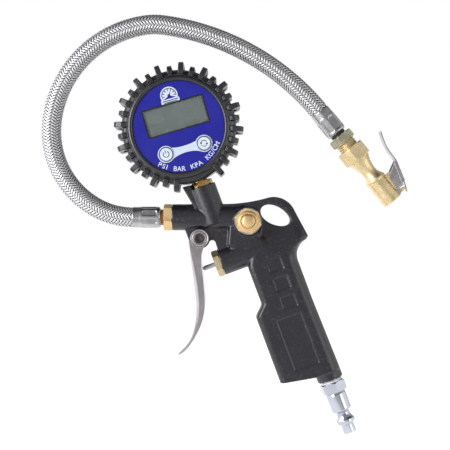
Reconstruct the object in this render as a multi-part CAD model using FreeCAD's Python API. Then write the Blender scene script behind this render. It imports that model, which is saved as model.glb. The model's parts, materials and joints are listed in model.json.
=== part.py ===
"""Tyre inflator gun with a digital pressure gauge, a braided hose and a clip-on chuck.

Row frame, millimetres: +X to the rear of the gun, +Z up, +Y away from the dial side.
The origin is the tip of the air inlet plug. Four local frames, each turned about Y, hold the parts:
  GUN    the casting, trigger valve and inlet: X square to the grip, Z up along the grip's axis
  DIAL   the gauge case: Z towards 12 o'clock on the dial
  PORT   the hose fitting at the gun: Z out along the hose
  CHUCK  the hose end and chuck: X out of the chuck's mouth, Z towards the clip lever
"""
import FreeCAD, Part
import math
import os
from FreeCAD import Placement, Rotation, Vector

# ---------------------------------------------------------------- driving dimensions
RAKE = 20.5                     # lean of the grip, and of everything square to it
DIAL_LEAN = 16.3                # lean of the dial's 12 o'clock from vertical

BODY_HALF = 8.5                 # half the thickness of the grip
WEB_HALF = 4.7                  # half the thickness of the hanging plate
EAR_HALF = 3.7                  # and of the ear that carries the trigger
GRIP_REAR = 6.7                 # grip surfaces, measured from the inlet's axis
GRIP_FRONT_LOW = -28.9
GRIP_FRONT_HIGH = -23.0
BOSS_R = 7.8                    # inlet boss
BOSS_END = 34.0
VALVE_Z = 122.6                 # trigger valve axis
VALVE_FACE = -36.9
VALVE_R = 8.1
TOWER_X = -32.2                 # gauge tower axis
TOWER_R = 8.65
TOWER_TOP = 169.1
PIVOT_X, PIVOT_Z = -44.0, 140.5
BLEED_X, BLEED_Z = -13.3, 140.0
BLEED_FACE = -8.6
DIAL_Z = 206.5                  # dial centre, above the tower
PORT_ROW_X, PORT_ROW_Z = -106.7, 128.9
BARREL_R = 7.85

HEX = 14.0                      # spanner size of the small hexagons
CHUCK_HEX = 16.0
VALVE_STEM_BORE_R = 4.25        # takes a 7.7 mm tyre valve
FIT = 0.05                      # running clearance on a radius
TOUCH = 0.02                    # gap left where a seal only touches

TRIGGER_HALF = 6.4
PIN_R = 2.5
STEM_R = 1.5
VALVE_THREAD_R = 5.5
VALVE_BORE_R = 4.6
BLEED_THREAD_R = 5.4
INLET_THREAD_R = 6.5
PORT_THREAD_R = 6.0

HOSE_R, TUBE_R, HOSE_BORE_R = 5.8, 5.0, 3.0
CRIMP_R = 5.45                  # the braid inside a ferrule
FERRULE_LENGTH, FERRULE_REACH = 16.8, 7.0
HOSE_BENDS = ((44.9, 28.7), (52.4, 68.0), (66.0, 74.2), (41.0, 16.8), (146.4, 42.8))

CASE_R, CASE_WALL = 30.0, 2.0
CASE_FRONT, CASE_SPLIT, CASE_BACK = -14.0, -6.5, 14.0
PLATE = 1.6                     # thickness of the case's flat walls
LABEL_R = 26.9
LCD_W, LCD_H, LCD_Z = 36.6, 16.4, 6.2
KEY_X, KEY_Z, KEY_R = 11.6, -13.7, 4.4
BATTERY_R, BATTERY_LENGTH = 5.25, 44.5
BATTERY_Y, BATTERY_ZS = 6.8, (-2.2, 8.6)
SCREW_SPOTS = [(sx * 17.8, sz * 17.8) for sx in (-1, 1) for sz in (-1, 1)]


# ---------------------------------------------------------------- frames
def turned_frame(x, z, degrees):
    return Placement(Vector(x, 0, z), Rotation(Vector(0, 1, 0), degrees))


GUN = turned_frame(0, 0, -RAKE)
DIAL_SPOT = GUN.multVec(Vector(TOWER_X, 0, DIAL_Z))
STEM = turned_frame(DIAL_SPOT.x, DIAL_SPOT.z, -RAKE)
DIAL = turned_frame(DIAL_SPOT.x, DIAL_SPOT.z, -DIAL_LEAN)
PORT = turned_frame(PORT_ROW_X, PORT_ROW_Z, -90)


def hose_bends():
    """The free hose from ferrule to ferrule as arcs in the XZ plane, and the point and heading it ends at."""
    spot = Vector(PORT_ROW_X - FERRULE_REACH - FERRULE_LENGTH, 0, PORT_ROW_Z)
    heading = 180.0
    arcs = []
    for radius, turn in HOSE_BENDS:
        points = [spot]
        for part in (turn / 2, turn):
            chord = 2 * radius * math.sin(math.radians(part / 2))
            aim = math.radians(heading - part / 2)
            points.append(spot + Vector(chord * math.cos(aim), 0, chord * math.sin(aim)))
        arcs.append(points)
        spot = points[2]
        heading -= turn
    return arcs, spot, heading


HOSE_ARCS, HOSE_END, HOSE_HEADING = hose_bends()
CHUCK = Placement(HOSE_END, Rotation(Vector(0, 1, 0), -HOSE_HEADING)).multiply(
    turned_frame(27.0 + FERRULE_LENGTH, 0, 0))
PIVOT_SPOT = GUN.multVec(Vector(PIVOT_X, 0, PIVOT_Z))
TRIGGER = turned_frame(PIVOT_SPOT.x, PIVOT_SPOT.z, 0)
ALONG_X = Placement(Vector(), Rotation(Vector(0, 1, 0), 90))
ALONG_Y = Placement(Vector(), Rotation(Vector(1, 0, 0), -90))


def placed(shape, *frames):
    """A copy of the shape, carried through the frames from the innermost outwards."""
    result = shape.copy()
    for frame in frames:
        result.Placement = frame.multiply(result.Placement)
    return result


# ---------------------------------------------------------------- shape helpers
def at(point):
    return Vector(point[0], 0, point[1])


def smooth(points):
    curve = Part.BSplineCurve()
    curve.interpolate([at(point) for point in points])
    return curve.toShape()


def face(start, *steps):
    """A flat face in the XZ plane. A step is a point, ("arc", middle, end) or ("curve", points)."""
    here = start
    edges = []
    for step in steps + (start,):
        if step[0] == "arc":
            edges.append(Part.Arc(at(here), at(step[1]), at(step[2])).toShape())
            here = step[2]
        elif step[0] == "curve":
            edges.append(smooth([here] + step[1]))
            here = step[1][-1]
        elif step != here:
            edges.append(Part.makeLine(at(here), at(step)))
            here = step
    return Part.Face(Part.Wire(edges))


def plate(outline, low, high):
    """The outline as a plate from y = low to y = high."""
    flat = outline.copy()
    flat.translate(Vector(0, low, 0))
    return flat.extrude(Vector(0, high - low, 0))


def lathe(start, *steps):
    """A solid turned about Z, from an outline of (radius, z)."""
    return face(start, *steps).revolve(Vector(), Vector(0, 0, 1), 360)


def rod(radius, low, high):
    return Part.makeCylinder(radius, high - low, Vector(0, 0, low))


def ring(inner, outer, low, high):
    return rod(outer, low, high).cut(rod(inner, low - 1, high + 1))


def box(x0, x1, y0, y1, z0, z1):
    return Part.makeBox(x1 - x0, y1 - y0, z1 - z0, Vector(x0, y0, z0))


def prism(sides, across, low, high, turn=0.0, bevel=0.0):
    """A regular prism about Z, `across` its flats, with both ends bevelled at the corners."""
    corner = across / 2 / math.cos(math.pi / sides)
    points = []
    for i in range(sides + 1):
        angle = math.radians(turn) + 2 * math.pi * i / sides
        points.append(Vector(corner * math.cos(angle), corner * math.sin(angle), low))
    solid = Part.Face(Part.makePolygon(points)).extrude(Vector(0, 0, high - low))
    if bevel:
        slim = corner - bevel
        solid = solid.common(lathe((0, low), (slim, low), (corner, low + bevel * 0.6),
                                   (corner, high - bevel * 0.6), (slim, high), (0, high)))
    return solid


def coil(radius, wire, low, high, turns):
    """A spring about Z."""
    length = high - low - 2 * wire
    helix = Part.makeHelix(length / turns, length, radius)
    helix.translate(Vector(0, 0, low + wire))
    start = helix.Edges[0].valueAt(helix.Edges[0].FirstParameter)
    circle = Part.Wire(Part.makeCircle(wire, start, Vector(0, 1, 0)))
    return Part.Wire(helix.Edges).makePipeShell([circle], True, True)


def fuse(shapes):
    return shapes[0].multiFuse(list(shapes[1:])).removeSplitter()


def cut(shape, tools):
    return shape.cut(list(tools))


def rounded(shape, radius, wanted):
    """Rounds the edges that `wanted` picks, or leaves the shape as it is where that can't be done."""
    edges = [edge for edge in shape.Edges if wanted(edge)]
    try:
        result = shape.makeFillet(radius, edges)
        return result if result.isValid() and result.Solids else shape
    except Part.OCCError:
        print("a", radius, "mm rounding was left out")
        return shape


def on_plane(y):
    """Picks edges that lie wholly in the plane at +y or -y."""
    return lambda edge: all(abs(abs(v.Point.y) - y) < 1e-4 for v in edge.Vertexes) and \
        abs(abs(edge.CenterOfMass.y) - y) < 1e-3


PARTS = {}


def keep(name, shape, *frames):
    PARTS[name] = placed(shape, *frames)


# ---------------------------------------------------------------- gun casting
def grip_section(z, front, rear, half):
    """A rounded rectangle across the grip at height z."""
    front_r, rear_r = 0.42 * half, 0.84 * half
    points = []
    for x, y, r, sx, sy in ((front, -half, front_r, 1, 1), (rear, -half, rear_r, -1, 1),
                            (rear, half, rear_r, -1, -1), (front, half, front_r, 1, -1)):
        middle = r * (1 - math.sqrt(0.5))
        corner = [Vector(x, y + sy * r, z), Vector(x + sx * middle, y + sy * middle, z),
                  Vector(x + sx * r, y, z)]
        points.append(corner if sx * sy > 0 else corner[::-1])
    edges = []
    for i, corner in enumerate(points):
        edges.append(Part.Arc(*corner).toShape())
        edges.append(Part.makeLine(corner[2], points[(i + 1) % 4][0]))
    return Part.Wire(edges)


def grip():
    """Straight lower and upper grip, the finger step between them, and the web of the thumb."""
    low = [grip_section(36.0, GRIP_FRONT_LOW, BOSS_R, BODY_HALF),
           grip_section(83.5, GRIP_FRONT_LOW, GRIP_REAR, BODY_HALF)]
    step = []
    for i in range(7):
        share = i / 6
        ease = share * share * (3 - 2 * share)
        front = GRIP_FRONT_LOW + (GRIP_FRONT_HIGH - GRIP_FRONT_LOW) * ease
        step.append(grip_section(83.5 + 8.0 * share, front, GRIP_REAR, BODY_HALF))

    web_r = 10.4                # hollow that sits on the web of the thumb
    neck = [grip_section(z, GRIP_FRONT_HIGH, GRIP_REAR, BODY_HALF) for z in (91.5, 107.5)]
    for i in range(1, 10):
        angle = math.radians(9.3 * i)
        rise, out = web_r * math.sin(angle), web_r * (1 - math.cos(angle))
        front = GRIP_FRONT_HIGH + 0.06 * max(0.0, rise - 4.5) ** 2
        neck.append(grip_section(107.5 + rise, front, GRIP_REAR + out, BODY_HALF - 0.04 * rise))
    for i in range(9):
        share = i / 8
        ease = share * share * (3 - 2 * share)
        neck.append(grip_section(119.2 + 14.0 * share, -19.6 + 13.0 * share, 17.4 - 2.2 * share,
                                 7.9 - 3.6 * ease))
    lofts = [Part.makeLoft(sections, True, sections is not step) for sections in (low, step, neck)]
    bottom = plate(face((-40, 30), (-40, 44.8), (-7.9, 38.8), (20, 38.8), (20, 30)), -20, 20)
    return fuse(lofts).cut(bottom)


EAR_R = 6.3


def ear():
    """The thin plate under the hose barrel that the trigger hangs from."""
    outline = face(
        (PIVOT_X - EAR_R, 150.0), (PIVOT_X - EAR_R, PIVOT_Z),
        ("arc", (PIVOT_X, PIVOT_Z - EAR_R), (PIVOT_X + 5.1, PIVOT_Z - 3.7)),
        ("arc", (-36.9, 136.7), (-36.0, 134.0)),
        (-36.3, 122.0), (-24.0, 122.0), (-24.0, 156.0), (-33.0, 156.0))
    flat = plate(outline, -EAR_HALF, EAR_HALF)
    return rounded(flat, 0.8, lambda e: on_plane(EAR_HALF)(e) and e.CenterOfMass.x < -35.5
                   and e.CenterOfMass.z < 149)


def hanging_plate():
    """The flat plate behind the hose barrel, with its hole for a hook."""
    outline = face(
        (-26.0, 124.0), (10.0, 119.4), (17.3, 119.4), (15.0, 136.5),
        ("arc", (11.7, 144.4), (4.0, 148.9)),
        ("arc", (-11.5, 151.2), (-24.5, 155.2)),
        (-26.0, 154.0))
    flat = plate(outline, -WEB_HALF, WEB_HALF).cut(hanging_hole())
    flat = rounded(flat, 1.4, lambda e: on_plane(WEB_HALF)(e) and e.CenterOfMass.z > 125
                   and e.CenterOfMass.x > -25 and not in_hole(e))
    return rounded(flat, 1.2, lambda e: on_plane(WEB_HALF)(e) and in_hole(e))


HOLE = (3.3, 137.4)             # centre, half length, half width and heading of the hanging hole
HOLE_LONG, HOLE_SHORT, HOLE_HEADING = 9.5, 5.4, -47.0


def hanging_hole():
    """An oval hole, a little wider at its upper end."""
    points = []
    for i in range(16):
        angle = 2 * math.pi * i / 16
        along = HOLE_LONG * math.cos(angle)
        across = HOLE_SHORT * math.sin(angle) * (1 - 0.08 * math.cos(angle))
        points.append(Vector(along, 0, across))
    curve = Part.BSplineCurve()
    curve.interpolate(Points=points, PeriodicFlag=True)
    oval = Part.Face(Part.Wire([curve.toShape()]))
    return plate(placed(oval, turned_frame(HOLE[0], HOLE[1], -HOLE_HEADING)), -20, 20)


def in_hole(edge):
    middle = edge.CenterOfMass
    return math.hypot(middle.x - HOLE[0], middle.z - HOLE[1]) < HOLE_LONG


def gun_casting():
    core = plate(face((-29.6, 131.0), (-24.4, 142.0), (-25.0, 151.0), (-12.0, 149.5), (-8.0, 133.0),
                      (-12.0, 124.0), (-27.0, 124.0)), -6.6, 6.6)
    core = rounded(core, 1.5, on_plane(6.6))
    barrel = placed(rod(BARREL_R, -38.5, 0), PORT, GUN.inverse())
    tower = rod(TOWER_R, 145.5, TOWER_TOP)
    tower.translate(Vector(TOWER_X, 0, 0))
    fin = plate(face((TOWER_X - TOWER_R + 1, 158), (TOWER_X - TOWER_R - 0.3, 163),
                     (TOWER_X - TOWER_R - 2.0, 172.6), (TOWER_X - TOWER_R + 3.2, 172.2),
                     (TOWER_X - 4, TOWER_TOP), (TOWER_X - 4, 158)), -6.4, 6.4)
    hex_room = rod(TOWER_R - 0.3, TOWER_TOP, TOWER_TOP + 6)
    hex_room.translate(Vector(TOWER_X, 0, 0))
    fin = fin.cut(hex_room)
    valve_barrel = placed(rod(VALVE_R, VALVE_FACE, -8.0), ALONG_X)
    valve_barrel.translate(Vector(0, 0, VALVE_Z))
    bleed_boss = placed(rod(8.5, BLEED_FACE, 8.0), ALONG_Y)
    bleed_boss.translate(Vector(BLEED_X, 0, BLEED_Z))
    inlet_boss = lathe((0, BOSS_END), (BOSS_R, BOSS_END), (BOSS_R, 38.5), (BOSS_R - 1.0, 62.0), (0, 62.0))
    solid = fuse([grip(), ear(), hanging_plate(), core, barrel, tower, fin, valve_barrel, bleed_boss,
                  inlet_boss])
    return cut(solid, casting_bores() + grip_recesses() + [hanging_hole()])


def casting_bores():
    """Threads, air ways and the pivot hole, as they are drilled."""
    inlet = fuse([rod(INLET_THREAD_R, BOSS_END - 1, 46.0), rod(4.0, 45.0, VALVE_Z)])
    valve = placed(fuse([rod(VALVE_THREAD_R, VALVE_FACE - 1, -28.5), rod(VALVE_BORE_R, -29.0, -6.0),
                         rod(3.0, -7.0, 1.0)]), ALONG_X)
    valve.translate(Vector(0, 0, VALVE_Z))
    transfer = rod(2.0, VALVE_Z, 147.0)
    transfer.translate(Vector(-26.0, 0, 0))
    port = placed(fuse([rod(PORT_THREAD_R, -10.5, 1.0), rod(4.0, -43.0, -10.0)]), PORT, GUN.inverse())
    tower = fuse([rod(INLET_THREAD_R, TOWER_TOP - 12.0, TOWER_TOP + 1), rod(3.0, 149.0, TOWER_TOP - 11.0)])
    tower.translate(Vector(TOWER_X, 0, 0))
    bleed = placed(fuse([rod(BLEED_THREAD_R, BLEED_FACE - 1, -3.0), rod(4.4, -4.0, 5.5)]), ALONG_Y)
    bleed.translate(Vector(BLEED_X, 0, BLEED_Z))
    pivot = placed(rod(PIN_R, -20, 20), ALONG_Y)
    pivot.translate(Vector(PIVOT_X, 0, PIVOT_Z))
    return [inlet, valve, transfer, port, tower, bleed, pivot]


def grip_recesses():
    """Shallow panels cast into both sides of the grip: one tall one low down and three small ones above."""
    depth = 0.55
    panels = [(-18.3, -2.9, 46.7, 78.7)]
    panels += [(-11.8, -2.9, low, low + 7.8) for low in (83.0, 94.7, 106.4)]
    tools = []
    for x0, x1, z0, z1 in panels:
        for side in (-1, 1):
            outer = side * (BODY_HALF - depth)
            tools.append(box(x0, x1, min(outer, side * 12), max(outer, side * 12), z0, z1))
    return tools


# ---------------------------------------------------------------- air inlet
def inlet_plug():
    """Quick-coupling plug: tip, collar, locking groove, body, hexagon and pipe thread."""
    skin = lathe((0, 0), (3.5, 0), (3.9, 0.5), (3.9, 5.2), (5.3, 6.6), (5.5, 7.2), (5.5, 8.4),
                 ("arc", (4.4, 10.4), (4.0, 12.6)), (4.0, 13.0), (5.9, 14.6), (6.0, 15.2), (6.0, 24.6),
                 ("arc", (5.8, 25.4), (5.2, 26.0)), (5.2, 27.0), (0, 27.0))
    hexagon = prism(6, HEX, 26.0, 32.1, turn=39.0, bevel=0.9)
    thread = lathe((0, 32.0), (6.0, 32.0), (6.0, 33.9), (INLET_THREAD_R, 34.2), (INLET_THREAD_R, 43.6),
                   (5.9, 44.3), (0, 44.3))
    bore = fuse([rod(2.7, -1, 40.0), lathe((0, 36.0), (2.7, 36.0), (4.2, 39.0), (4.2, 45.0), (0, 45.0))])
    return fuse([skin, hexagon, thread]).cut(bore)


def build_inlet():
    keep("inlet_plug", inlet_plug(), GUN)
    keep("inlet_seal_tape", ring(6.0 + TOUCH, 6.75, 32.15, 33.85), GUN)


# ---------------------------------------------------------------- trigger valve
def build_trigger_valve():
    """Everything on the valve axis, from the trigger side inwards. X is counted along the axis."""
    axis = turned_frame(0, VALVE_Z, 0)
    seat_face = -20.5
    nut = fuse([prism(6, HEX, VALVE_FACE - 3.9, VALVE_FACE, turn=-4.0, bevel=0.9),
                rod(VALVE_THREAD_R, VALVE_FACE - 0.5, -28.9)])
    nut = cut(nut, [rod(STEM_R + FIT, -50, -20), rod(2.85, -33.3, -31.7)])
    keep("packing_nut", nut, ALONG_X, axis, GUN)
    keep("packing_o_ring", torus(STEM_R + TOUCH, 2.85 - TOUCH, -32.5), ALONG_X, axis, GUN)
    keep("valve_seat", ring(2.6, VALVE_BORE_R, seat_face - 2.5, seat_face), ALONG_X, axis, GUN)
    tip = -48.4
    stem = fuse([rod(STEM_R, tip + STEM_R, seat_face + 4.5), ball(STEM_R, tip + STEM_R)])
    keep("valve_stem", stem, ALONG_X, axis, GUN)
    keep("poppet_washer", ring(STEM_R, 4.0, seat_face, seat_face + 1.5), ALONG_X, axis, GUN)
    poppet = lathe((STEM_R, seat_face + 1.5), (4.2, seat_face + 1.5), (4.2, seat_face + 3.2),
                   (2.2, seat_face + 3.6), (2.2, seat_face + 6.5), (0, seat_face + 6.5),
                   (0, seat_face + 4.5), (STEM_R, seat_face + 4.5))
    keep("valve_poppet", poppet, ALONG_X, axis, GUN)
    keep("valve_spring", coil(3.1, 0.35, seat_face + 3.7, -6.1, 5), ALONG_X, axis, GUN)


def ball(radius, z):
    return Part.makeSphere(radius, Vector(0, 0, z))


def torus(inner, outer, z):
    """An O-ring about Z."""
    return Part.makeTorus((inner + outer) / 2, (outer - inner) / 2, Vector(0, 0, z))


# ---------------------------------------------------------------- trigger
BLADE = [                       # crown, back and the crown's height, down the blade
    ((-6.9, -3.0), (2.6, -4.6), 0.9), ((-6.2, -10.0), (1.6, -10.4), 1.4), ((-5.3, -16.0), (1.8, -16.4), 1.8),
    ((-4.3, -22.5), (2.6, -23.0), 2.1), ((-3.4, -29.0), (3.2, -29.4), 2.3), ((-2.5, -35.5), (3.6, -35.6), 2.1),
    ((-2.1, -41.5), (3.3, -41.3), 1.9), ((-2.5, -47.5), (2.4, -46.7), 1.9), ((-3.4, -53.0), (0.9, -51.9), 1.8),
    ((-5.2, -58.4), (-1.6, -57.2), 1.6), ((-8.0, -63.0), (-5.0, -64.6), 1.3),
    ((-10.6, -66.6), (-8.9, -68.1), 0.8), ((-13.2, -69.3), (-12.6, -70.0), 0.3)]


def blade_section(crown, back, height):
    """A slice of the blade: flat back and sides, and a front that is domed for the fingers."""
    length = math.hypot(crown[0] - back[0], crown[1] - back[1])
    share = height / length
    shoulder = [crown[i] + (back[i] - crown[i]) * share for i in (0, 1)]
    half = TRIGGER_HALF
    low, high = Vector(shoulder[0], -half, shoulder[1]), Vector(shoulder[0], half, shoulder[1])
    back_low, back_high = Vector(back[0], -half, back[1]), Vector(back[0], half, back[1])
    return Part.Wire([Part.Arc(low, at(crown), high).toShape(), Part.makeLine(high, back_high),
                      Part.makeLine(back_high, back_low), Part.makeLine(back_low, low)])


def trigger():
    """Cast lever: a forked eye over the casting's ear, and a curved finger blade hollowed from behind."""
    eye = 5.6
    cheek = face((-eye, 0.0), ("arc", (0.0, eye), (eye, 0.0)), ("arc", (4.8, -2.9), (2.5, -5.0)),
                 (1.7, -9.0), (-5.0, -9.0))
    half = TRIGGER_HALF
    blade = Part.makeLoft([blade_section(*station) for station in BLADE], True, True)
    lever = fuse([plate(cheek, -half, half), blade])
    fork = box(-9, 9, -EAR_HALF - 0.2, EAR_HALF + 0.2, -10.5, 8)
    hollow = plate(face((0.2, -24.0), (6.0, -24.0), (6.0, -49.0), (0.2, -49.0),
                        ("arc", (1.4, -37.0), (0.2, -24.0))), -4.3, 4.3)
    hole = placed(rod(PIN_R + FIT, -20, 20), ALONG_Y)
    dish = placed(ring(PIN_R, 4.0, -half - 0.1, -half + 0.4), ALONG_Y)
    return cut(lever, [fork, hollow, hole, dish])


def build_trigger():
    keep("trigger", trigger(), TRIGGER)
    pin = fuse([rod(PIN_R, -6.2, 8.0), rod(3.05, -7.0, -6.15)])
    pin = cut(pin, [ring(1.9, 3.5, 6.9, 7.6), rod(1.1, -7.5, -6.6)])
    keep("trigger_pin", pin, ALONG_Y, TRIGGER)
    clip = ring(1.9 + TOUCH, 4.0, 6.95, 7.55).cut(box(-1.4, 1.4, -5, 0, 6, 9))
    keep("pin_clip", clip, ALONG_Y, TRIGGER)


# ---------------------------------------------------------------- bleed valve
def build_bleed_valve():
    """The press-to-release valve beside the hose barrel, on an axis across the gun."""
    axis = turned_frame(BLEED_X, BLEED_Z, 0)
    base = BLEED_FACE - 0.8
    keep("bleed_washer", ring(BLEED_THREAD_R + 0.1, 7.9, base, BLEED_FACE), ALONG_Y, axis, GUN)
    bonnet = fuse([prism(6, HEX, base - 5.0, base, turn=36.5, bevel=0.4), rod(5.3, base - 6.1, base - 4.5),
                   rod(BLEED_THREAD_R, base - 1.0, -3.1)])
    bonnet = cut(bonnet, [rod(4.25, base - 7, base - 2.8), rod(2.6, base - 4, -2)])
    keep("bleed_bonnet", bonnet, ALONG_Y, axis, GUN)
    head = base - 5.2
    button = lathe((0, head - 2.7), ("arc", (2.6, head - 2.3), (4.15, head - 1.0)), (4.15, head),
                   (1.9, head), (1.9, -0.9), (0, -0.9))
    keep("bleed_button", button, ALONG_Y, axis, GUN)
    keep("bleed_seal", ring(1.9, 3.6, -3.1, -2.3), ALONG_Y, axis, GUN)
    keep("bleed_poppet", ring(1.9, 3.7, -2.3, -0.9), ALONG_Y, axis, GUN)
    keep("bleed_spring", coil(3.1, 0.35, -0.85, 5.45, 5), ALONG_Y, axis, GUN)


# ---------------------------------------------------------------- gauge
def build_gauge_stem():
    """Brass stem screwed into the tower, with the sensor on its upper end inside the case."""
    hex_low, hex_high = TOWER_TOP - DIAL_Z, TOWER_TOP - DIAL_Z + 3.0
    stem = fuse([rod(INLET_THREAD_R, hex_low - 11.0, hex_low + 0.1),
                 prism(6, HEX, hex_low, hex_high, turn=20.0, bevel=0.8),
                 rod(5.0, hex_high - 0.5, -23.4), rod(3.2, -24.0, -21.0)])
    keep("gauge_stem", stem.cut(rod(1.6, -60, 0)), STEM)
    keep("stem_nut", prism(6, 12.6, -26.4, -23.5, turn=0.0, bevel=0.6).cut(rod(5.0, -30, 0)), STEM)
    keep("sensor_o_ring", torus(3.2 + TOUCH, 4.6, -22.65), STEM)
    sensor = fuse([rod(6.0, -21.9, -15.5), box(-3.5, 3.5, -3.5, 3.5, -15.6, -13.2)])
    keep("pressure_sensor", sensor.cut(rod(3.2 + TOUCH, -25, -19.5)), STEM)


def window(width, height, y0, y1):
    return box(-width / 2, width / 2, y0, y1, LCD_Z - height / 2, LCD_Z + height / 2)


def key_place(side):
    return turned_frame(side * KEY_X, KEY_Z, 0)


def screw_place(spot):
    return turned_frame(spot[0], spot[1], 0)


def posts(radius, low, high):
    return [placed(rod(radius, low, high), ALONG_Y, screw_place(spot)) for spot in SCREW_SPOTS]


def stem_hole():
    """The stem's way through the case, seen in the dial's frame."""
    return placed(rod(5.0 + FIT, -40, -20), STEM, DIAL.inverse())


def build_case():
    inner = CASE_R - CASE_WALL
    face_back = CASE_FRONT + PLATE
    shell = placed(rod(CASE_R, CASE_FRONT, CASE_SPLIT).cut(rod(inner, face_back, 0)), ALONG_Y)
    shell = fuse([shell] + posts(2.2, face_back, CASE_SPLIT))
    openings = [window(LCD_W, LCD_H, -20, 0)]
    openings += [placed(rod(KEY_R + FIT, -20, -8), ALONG_Y, key_place(side)) for side in (-1, 1)]
    openings += posts(1.05, -11.0, 0)
    keep("case_front", cut(shell, openings), DIAL)

    wall = CASE_BACK - PLATE
    rear = placed(rod(CASE_R, CASE_SPLIT, CASE_BACK).cut(rod(inner, CASE_SPLIT - 1, wall)), ALONG_Y)
    seat = placed(box(-7.4, 7.4, CASE_SPLIT + 0.2, 8.0, -29.0, -26.5), STEM, DIAL.inverse())
    low, high = BATTERY_ZS[0] - BATTERY_R - 0.2, BATTERY_ZS[1] + BATTERY_R + 0.2
    floor = BATTERY_Y - BATTERY_R - 1.2
    tray = box(-24.2, 24.2, floor, wall, low - 1.2, high + 1.2)
    tray = tray.common(placed(rod(inner + 0.5, floor, wall), ALONG_Y))
    rear = fuse([rear, seat, tray] + posts(3.3, CASE_SPLIT, wall))
    pocket = box(-23.0, 23.0, floor + 1.1, CASE_BACK + 1, low, high)
    ledge = [placed(rod(2.4, wall - 1.4, CASE_BACK + 1), ALONG_Y, screw_place(s)) for s in SCREW_SPOTS]
    rear = cut(rear, [stem_hole(), pocket] + ledge + posts(1.05, CASE_SPLIT - 1, wall + 1))
    keep("case_rear", rear, DIAL)
    cover = box(-22.9, 22.9, wall + 0.05, CASE_BACK, low + 0.1, high - 0.1)
    cover = cut(cover, [box(x, x + 1.0, CASE_BACK - 0.5, CASE_BACK + 1, -2, 10) for x in (-12, -9, -6, 6, 9, 12)])
    keep("battery_cover", cover, DIAL)
    screws = [placed(fuse([rod(1.0, -10.8, wall - 1.3), rod(2.25, wall - 1.35, wall + 0.3)]).cut(
        box(-1.6, 1.6, -0.25, 0.25, wall - 0.4, wall + 1)), ALONG_Y, screw_place(s)) for s in SCREW_SPOTS]
    keep("case_screws", Part.makeCompound(screws), DIAL)


def build_display():
    """Label, display and circuit board, from the front backwards."""
    label = placed(rod(LABEL_R, CASE_FRONT - 0.3, CASE_FRONT), ALONG_Y)
    holes = [window(LCD_W, LCD_H, -20, 0)]
    holes += [placed(rod(KEY_R + FIT, -20, -8), ALONG_Y, key_place(side)) for side in (-1, 1)]
    keep("dial_label", cut(label, holes), DIAL)
    keep("lcd_window", window(LCD_W - 0.1, LCD_H - 0.1, CASE_FRONT - 0.25, CASE_FRONT + 0.8), DIAL)
    frame = window(LCD_W - 0.1, LCD_H - 0.1, CASE_FRONT + 0.85, -11.4).cut(
        window(LCD_W - 1.5, LCD_H - 1.5, -20, 0))
    keep("lcd_bezel", frame, DIAL)
    keep("lcd_panel", window(LCD_W - 1.6, LCD_H - 1.6, CASE_FRONT + 0.9, -11.4), DIAL)
    strips = [box(-17, 17, -11.35, -8.65, LCD_Z + side * 6.0 - 1.0, LCD_Z + side * 6.0 + 1.0)
              for side in (-1, 1)]
    keep("lcd_contact_strips", Part.makeCompound(strips), DIAL)
    board = placed(rod(27.6, -8.6, -7.4), ALONG_Y)
    keep("circuit_board", cut(board, posts(2.3, -10, -6)), DIAL)
    switches = [fuse([box(side * KEY_X - 3, side * KEY_X + 3, -10.9, -8.6, KEY_Z - 3, KEY_Z + 3),
                      placed(rod(1.7, -11.35, -10.8), ALONG_Y, key_place(side))]) for side in (-1, 1)]
    keep("key_switches", Part.makeCompound(switches), DIAL)
    for name, side in (("key_power", -1), ("key_function", 1)):
        cap = lathe((0, -15.0), (KEY_R - 0.7, -15.0), ("arc", (KEY_R - 0.2, -14.8), (KEY_R, -14.3)),
                    (KEY_R, -12.38), (5.2, -12.38), (5.2, -11.9), (0, -11.9))
        keep(name, cap, ALONG_Y, key_place(side), DIAL)


def build_batteries():
    cells, contacts = [], []
    half = BATTERY_LENGTH / 2
    for z in BATTERY_ZS:
        cell = fuse([rod(BATTERY_R, -half, half - 1.0), rod(1.9, half - 1.5, half)])
        spot = Placement(Vector(0, BATTERY_Y, z), Rotation(Vector(0, 1, 0), 90))
        cells.append(placed(cell, spot))
        for side in (-1, 1):
            x0, x1 = sorted((side * (half + 0.05), side * (half + 0.72)))
            contacts.append(box(x0, x1, BATTERY_Y - 3.2, BATTERY_Y + 3.2, z - 3.2, z + 3.2))
    keep("batteries", Part.makeCompound(cells), DIAL)
    keep("battery_contacts", Part.makeCompound(contacts), DIAL)


def lug(tip, width):
    """One tread block of the boot, pointing up: it wraps over both shoulders."""
    tilt = tip - 33.5
    side = Part.makePolygon([Vector(0, y, r) for y, r in (
        (-15.9, 30.9), (-15.2, 33.4), (-15.2 + tilt, tip), (15.2 - tilt, tip), (15.2, 33.4), (15.9, 30.9),
        (-15.9, 30.9))])
    block = Part.Face(side).extrude(Vector(width, 0, 0))
    block.translate(Vector(-width / 2, 0, 0))
    return block


def gauge_boot():
    """Rubber boot moulded like an off-road tyre: tall and short blocks take turns round the tread."""
    shell = placed(lathe((LABEL_R + 0.15, -14.0), (LABEL_R + 0.15, -15.0), (LABEL_R + 0.8, -15.7),
                         (30.6, -15.7), ("arc", (32.9, -14.6), (34.2, -12.2)), (34.2, 12.2),
                         ("arc", (32.9, 14.6), (30.6, 15.7)), (26.6, 15.7), (26.6, CASE_BACK),
                         (CASE_R, CASE_BACK), (CASE_R, -14.0)), ALONG_Y)
    blocks = []
    count = 32
    for i in range(count):
        degrees = 360 * i / count
        if abs(degrees - 180) < 12:
            continue
        block = lug(38.3, 3.0) if i % 2 == 0 else lug(36.2, 2.8)
        blocks.append(placed(block, Placement(Vector(), Rotation(Vector(0, 1, 0), degrees))))
    boot = fuse([shell] + blocks)
    inside = placed(rod(CASE_R, -14.0, CASE_BACK), ALONG_Y)
    return cut(boot, [inside, rod(9.0, -45, -20)])


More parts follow.
